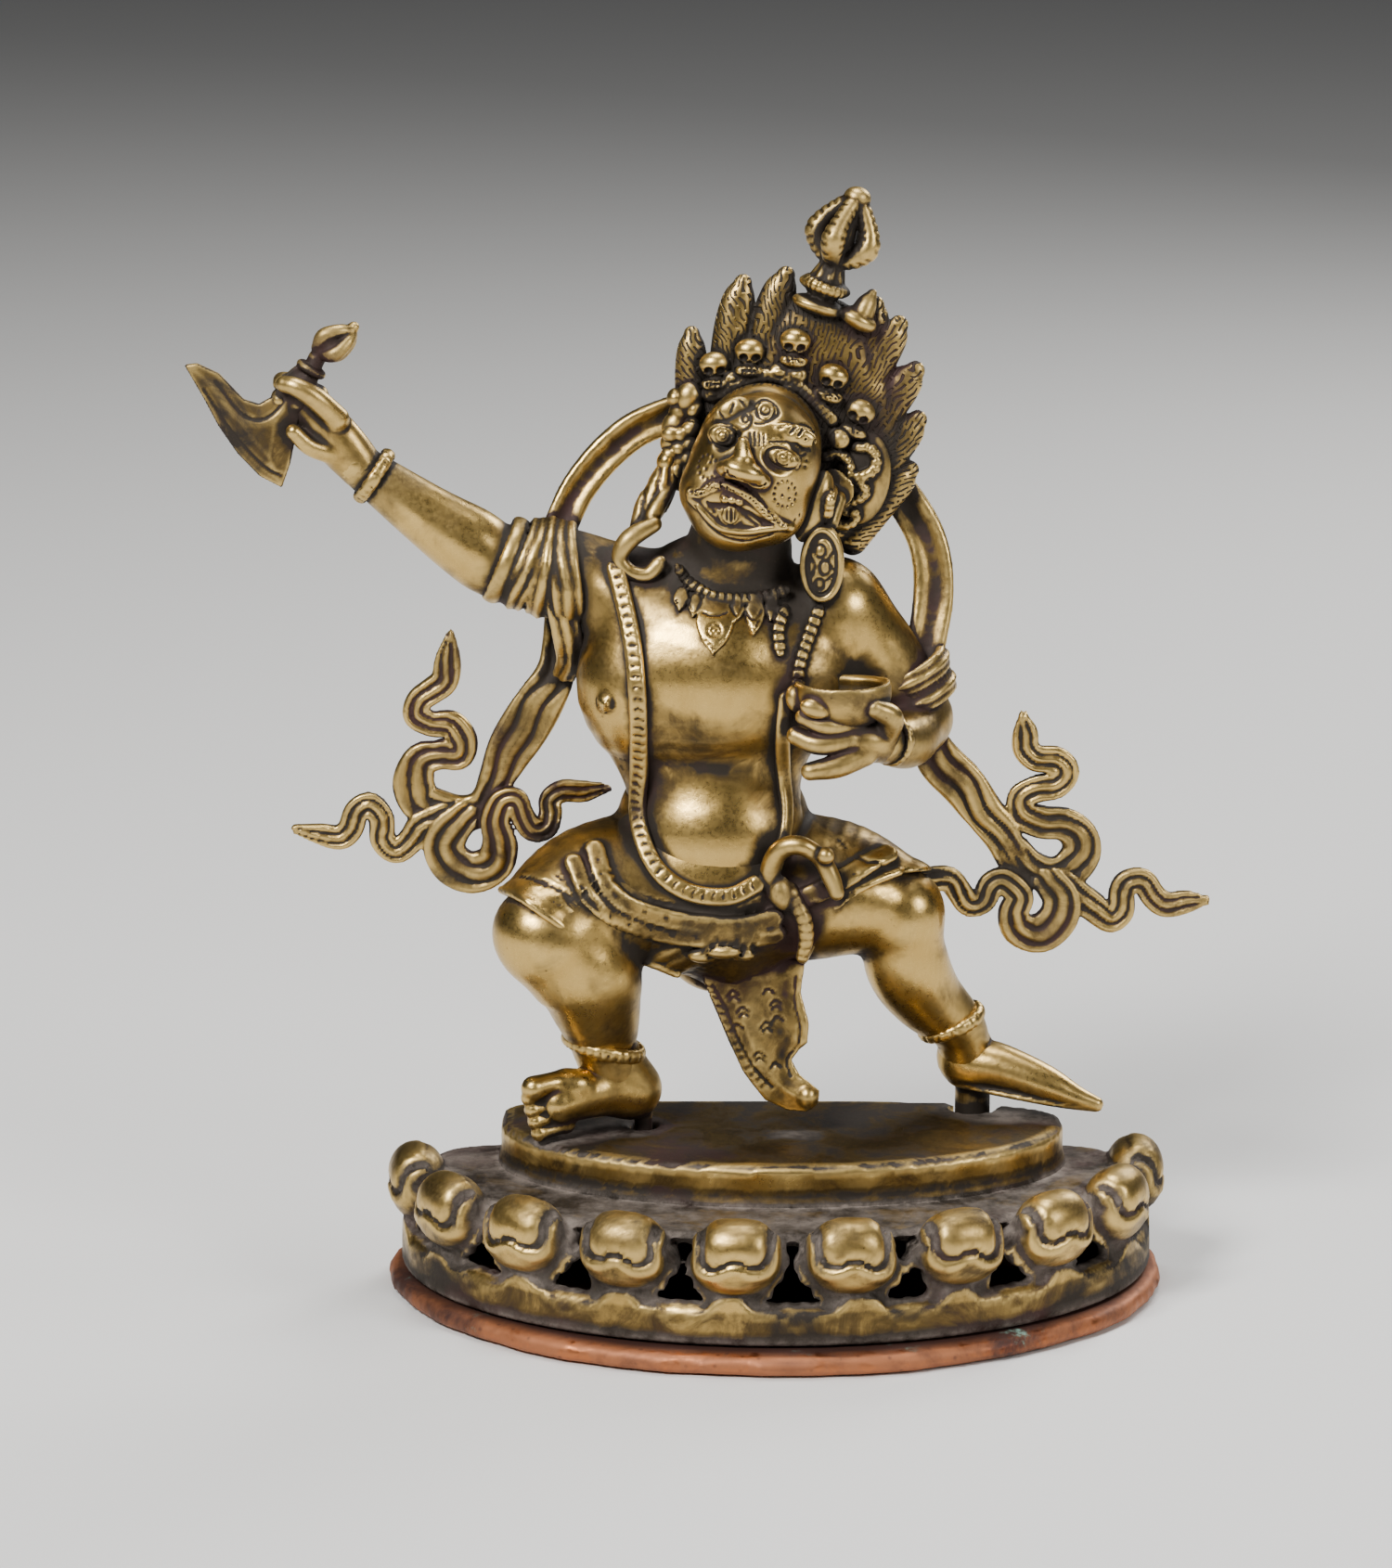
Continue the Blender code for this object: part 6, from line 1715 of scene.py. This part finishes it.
def copper():
    """Hammered red copper, tarnished brown in patches that deepen as painted shade where the plate is shut
    in, with a worn margin and a little verdigris.
    """
    f = Finish("copper")
    cloud = f.noise(30, 6, 0.65, warp=0.5)
    patches = f.noise(120, 6, 0.7, shift=4.0, warp=0.6)
    grain = f.noise(800, 4, 0.7, shift=6.0)
    base = f.mix(f.ramp(cloud, 0.35, 0.66), RED_COPPER, BROWN_COPPER)
    # Painted shade: the tarnished brown grows where the ring and figure shut the plate in.
    corners = f.ramp(f.attribute("shut"), 0.1, 0.6, 0.0, 0.35)
    tarnish_and_shade = f.ramp(f.sum(patches, corners), 0.42, 0.58)
    base = f.mix(f.product(tarnish_and_shade, 0.9), base, TARNISH_AND_SHADE)
    margin = f.ramp(f.attribute("broad"), -0.30, -0.05, 1.0, 0.0)
    base = f.mix(f.product(margin, f.ramp(cloud, 0.46, 0.62, 0.55, 0.0)), base, WORN_COPPER)
    green = f.ramp(f.noise(95, 6, 0.7, shift=21.0), 0.60, 0.68)
    green = f.product(green, f.ramp(cloud, 0.48, 0.6))
    base = f.mix(f.product(green, 0.8), base, VERDIGRIS)
    specks = f.ramp(f.spots(300, 1.0), 0.06, 0.2, 1.0, 0.0)
    base = f.mix(f.product(specks, 0.55), base, COPPER_SPECKS)
    roughness = f.sum(f.ramp(grain, 0.3, 0.7, 0.32, 0.42), f.product(f.sum(tarnish_and_shade, green), 0.22))
    covered = f.math("MAXIMUM", green, f.product(tarnish_and_shade, 0.4))
    metallic = f.math("SUBTRACT", 1.0, f.product(covered, 0.9))
    normal = f.bump((f.noise(70, 4, 0.6, shift=2.0), 0.4, 0.0006), (grain, 0.3, 0.0001))
    return f.finish(Base_Color=base, Roughness=roughness, Metallic=metallic, Normal=normal)


# Assembly
def assemble():
    """Models every piece, measures how they shut each other in, and gives each its mesh and finish."""
    torso, locks, head, wrap = body(), hair(), face(), skirt()
    figure_clays = {
        "body": torso, "feet": feet(), "raised_hand": raised_hand(), "knife": knife(), "cup": cup(),
        "cup_hand": cup_hand(), "bangles": bangles(), "face": head, "hair": locks,
        "crown": crown(Joined(locks, head)), "crown_thunderbolt": finial(), "ears": ears(),
        "necklace": necklace(torso), "snake": snake(Joined(torso, wrap)), "skirt": wrap, "apron": apron(),
        "scarf_left": scarf_tail(LEFT_TAIL), "scarf_right": scarf_tail(RIGHT_TAIL),
        "scarf_arch": scarf_arch(),
    }
    base_clays = {"lotus_ring": lotus_ring(), "plinth": plinth()}
    plate_clay = copper_plate()
    for clay in [*figure_clays.values(), *base_clays.values(), plate_clay]:
        for form, blend, cut in clay.forms:
            if (form.high - form.low).max() > SMALLEST_SHADE:
                MASS.add(form, blend, cut)
    figure_brass, base_brass = brass(), brass("base_brass", dust=0.8, wear=-0.13)
    scarf_brass = brass("scarf_brass", wear=-0.16)
    finishes = {
        "hair": brass("hair_brass", dashed=True), "knife": brass("knife_brass", wear=-0.3),
        "scarf_left": scarf_brass, "scarf_right": scarf_brass,
    }
    for name, clay in figure_clays.items():
        piece_of(name, clay, "figure", finishes.get(name, figure_brass))
    for name, clay in base_clays.items():
        piece_of(name, clay, "lotus_base", base_brass)
    piece_of("copper_plate", plate_clay, "base_plate", copper())


# Each light's name, place in metres, watts and width
LIGHTS = [
    ("key", (-0.75, -1.05, 1.25), 40, 0.5), ("fill", (1.2, -0.9, 0.8), 11, 0.5),
    ("top", (0.1, 0.1, 1.5), 14, 0.6), ("rim", (0.8, 1.0, 0.9), 12, 0.6),
]
LIT_SPOT = Vector((0, 0.03, 0.12))
SENSOR_HEIGHT = 36


def set_stage():
    """A pale floor, soft studio lights and the photograph's camera."""
    bpy.ops.mesh.primitive_plane_add(size=8, location=(0, 0, 0))
    floor = bpy.context.object
    floor.name = "floor"
    floor.data.materials.append(Finish("floor").finish(Base_Color=PALE_FLOOR, Roughness=0.75))
    for name, spot, energy, size in LIGHTS:
        data = bpy.data.lights.new(name, "AREA")
        data.energy = energy
        data.size = size
        light = bpy.data.objects.new(name, data)
        light.location = spot
        light.rotation_euler = (LIT_SPOT - Vector(spot)).to_track_quat("-Z", "Y").to_euler()
        bpy.context.scene.collection.objects.link(light)
    world = bpy.data.worlds.new("studio")
    world.use_nodes = True
    sky = world.node_tree.nodes["Background"].inputs
    sky["Color"].default_value = SKY
    sky["Strength"].default_value = 0.07
    bpy.context.scene.world = world

    data = bpy.data.cameras.new("photo_view")
    data.sensor_fit = "VERTICAL"
    data.sensor_height = SENSOR_HEIGHT
    data.lens = FOCAL_PIXELS / PHOTO_HEIGHT * SENSOR_HEIGHT
    data.clip_end = 20
    camera = bpy.data.objects.new("photo_view", data)
    camera.location = Vector(EYE * MM)
    camera.rotation_euler = Vector((AIM - EYE) * MM).to_track_quat("-Z", "Y").to_euler()
    bpy.context.scene.collection.objects.link(camera)
    bpy.context.scene.camera = camera


assemble()
set_stage()
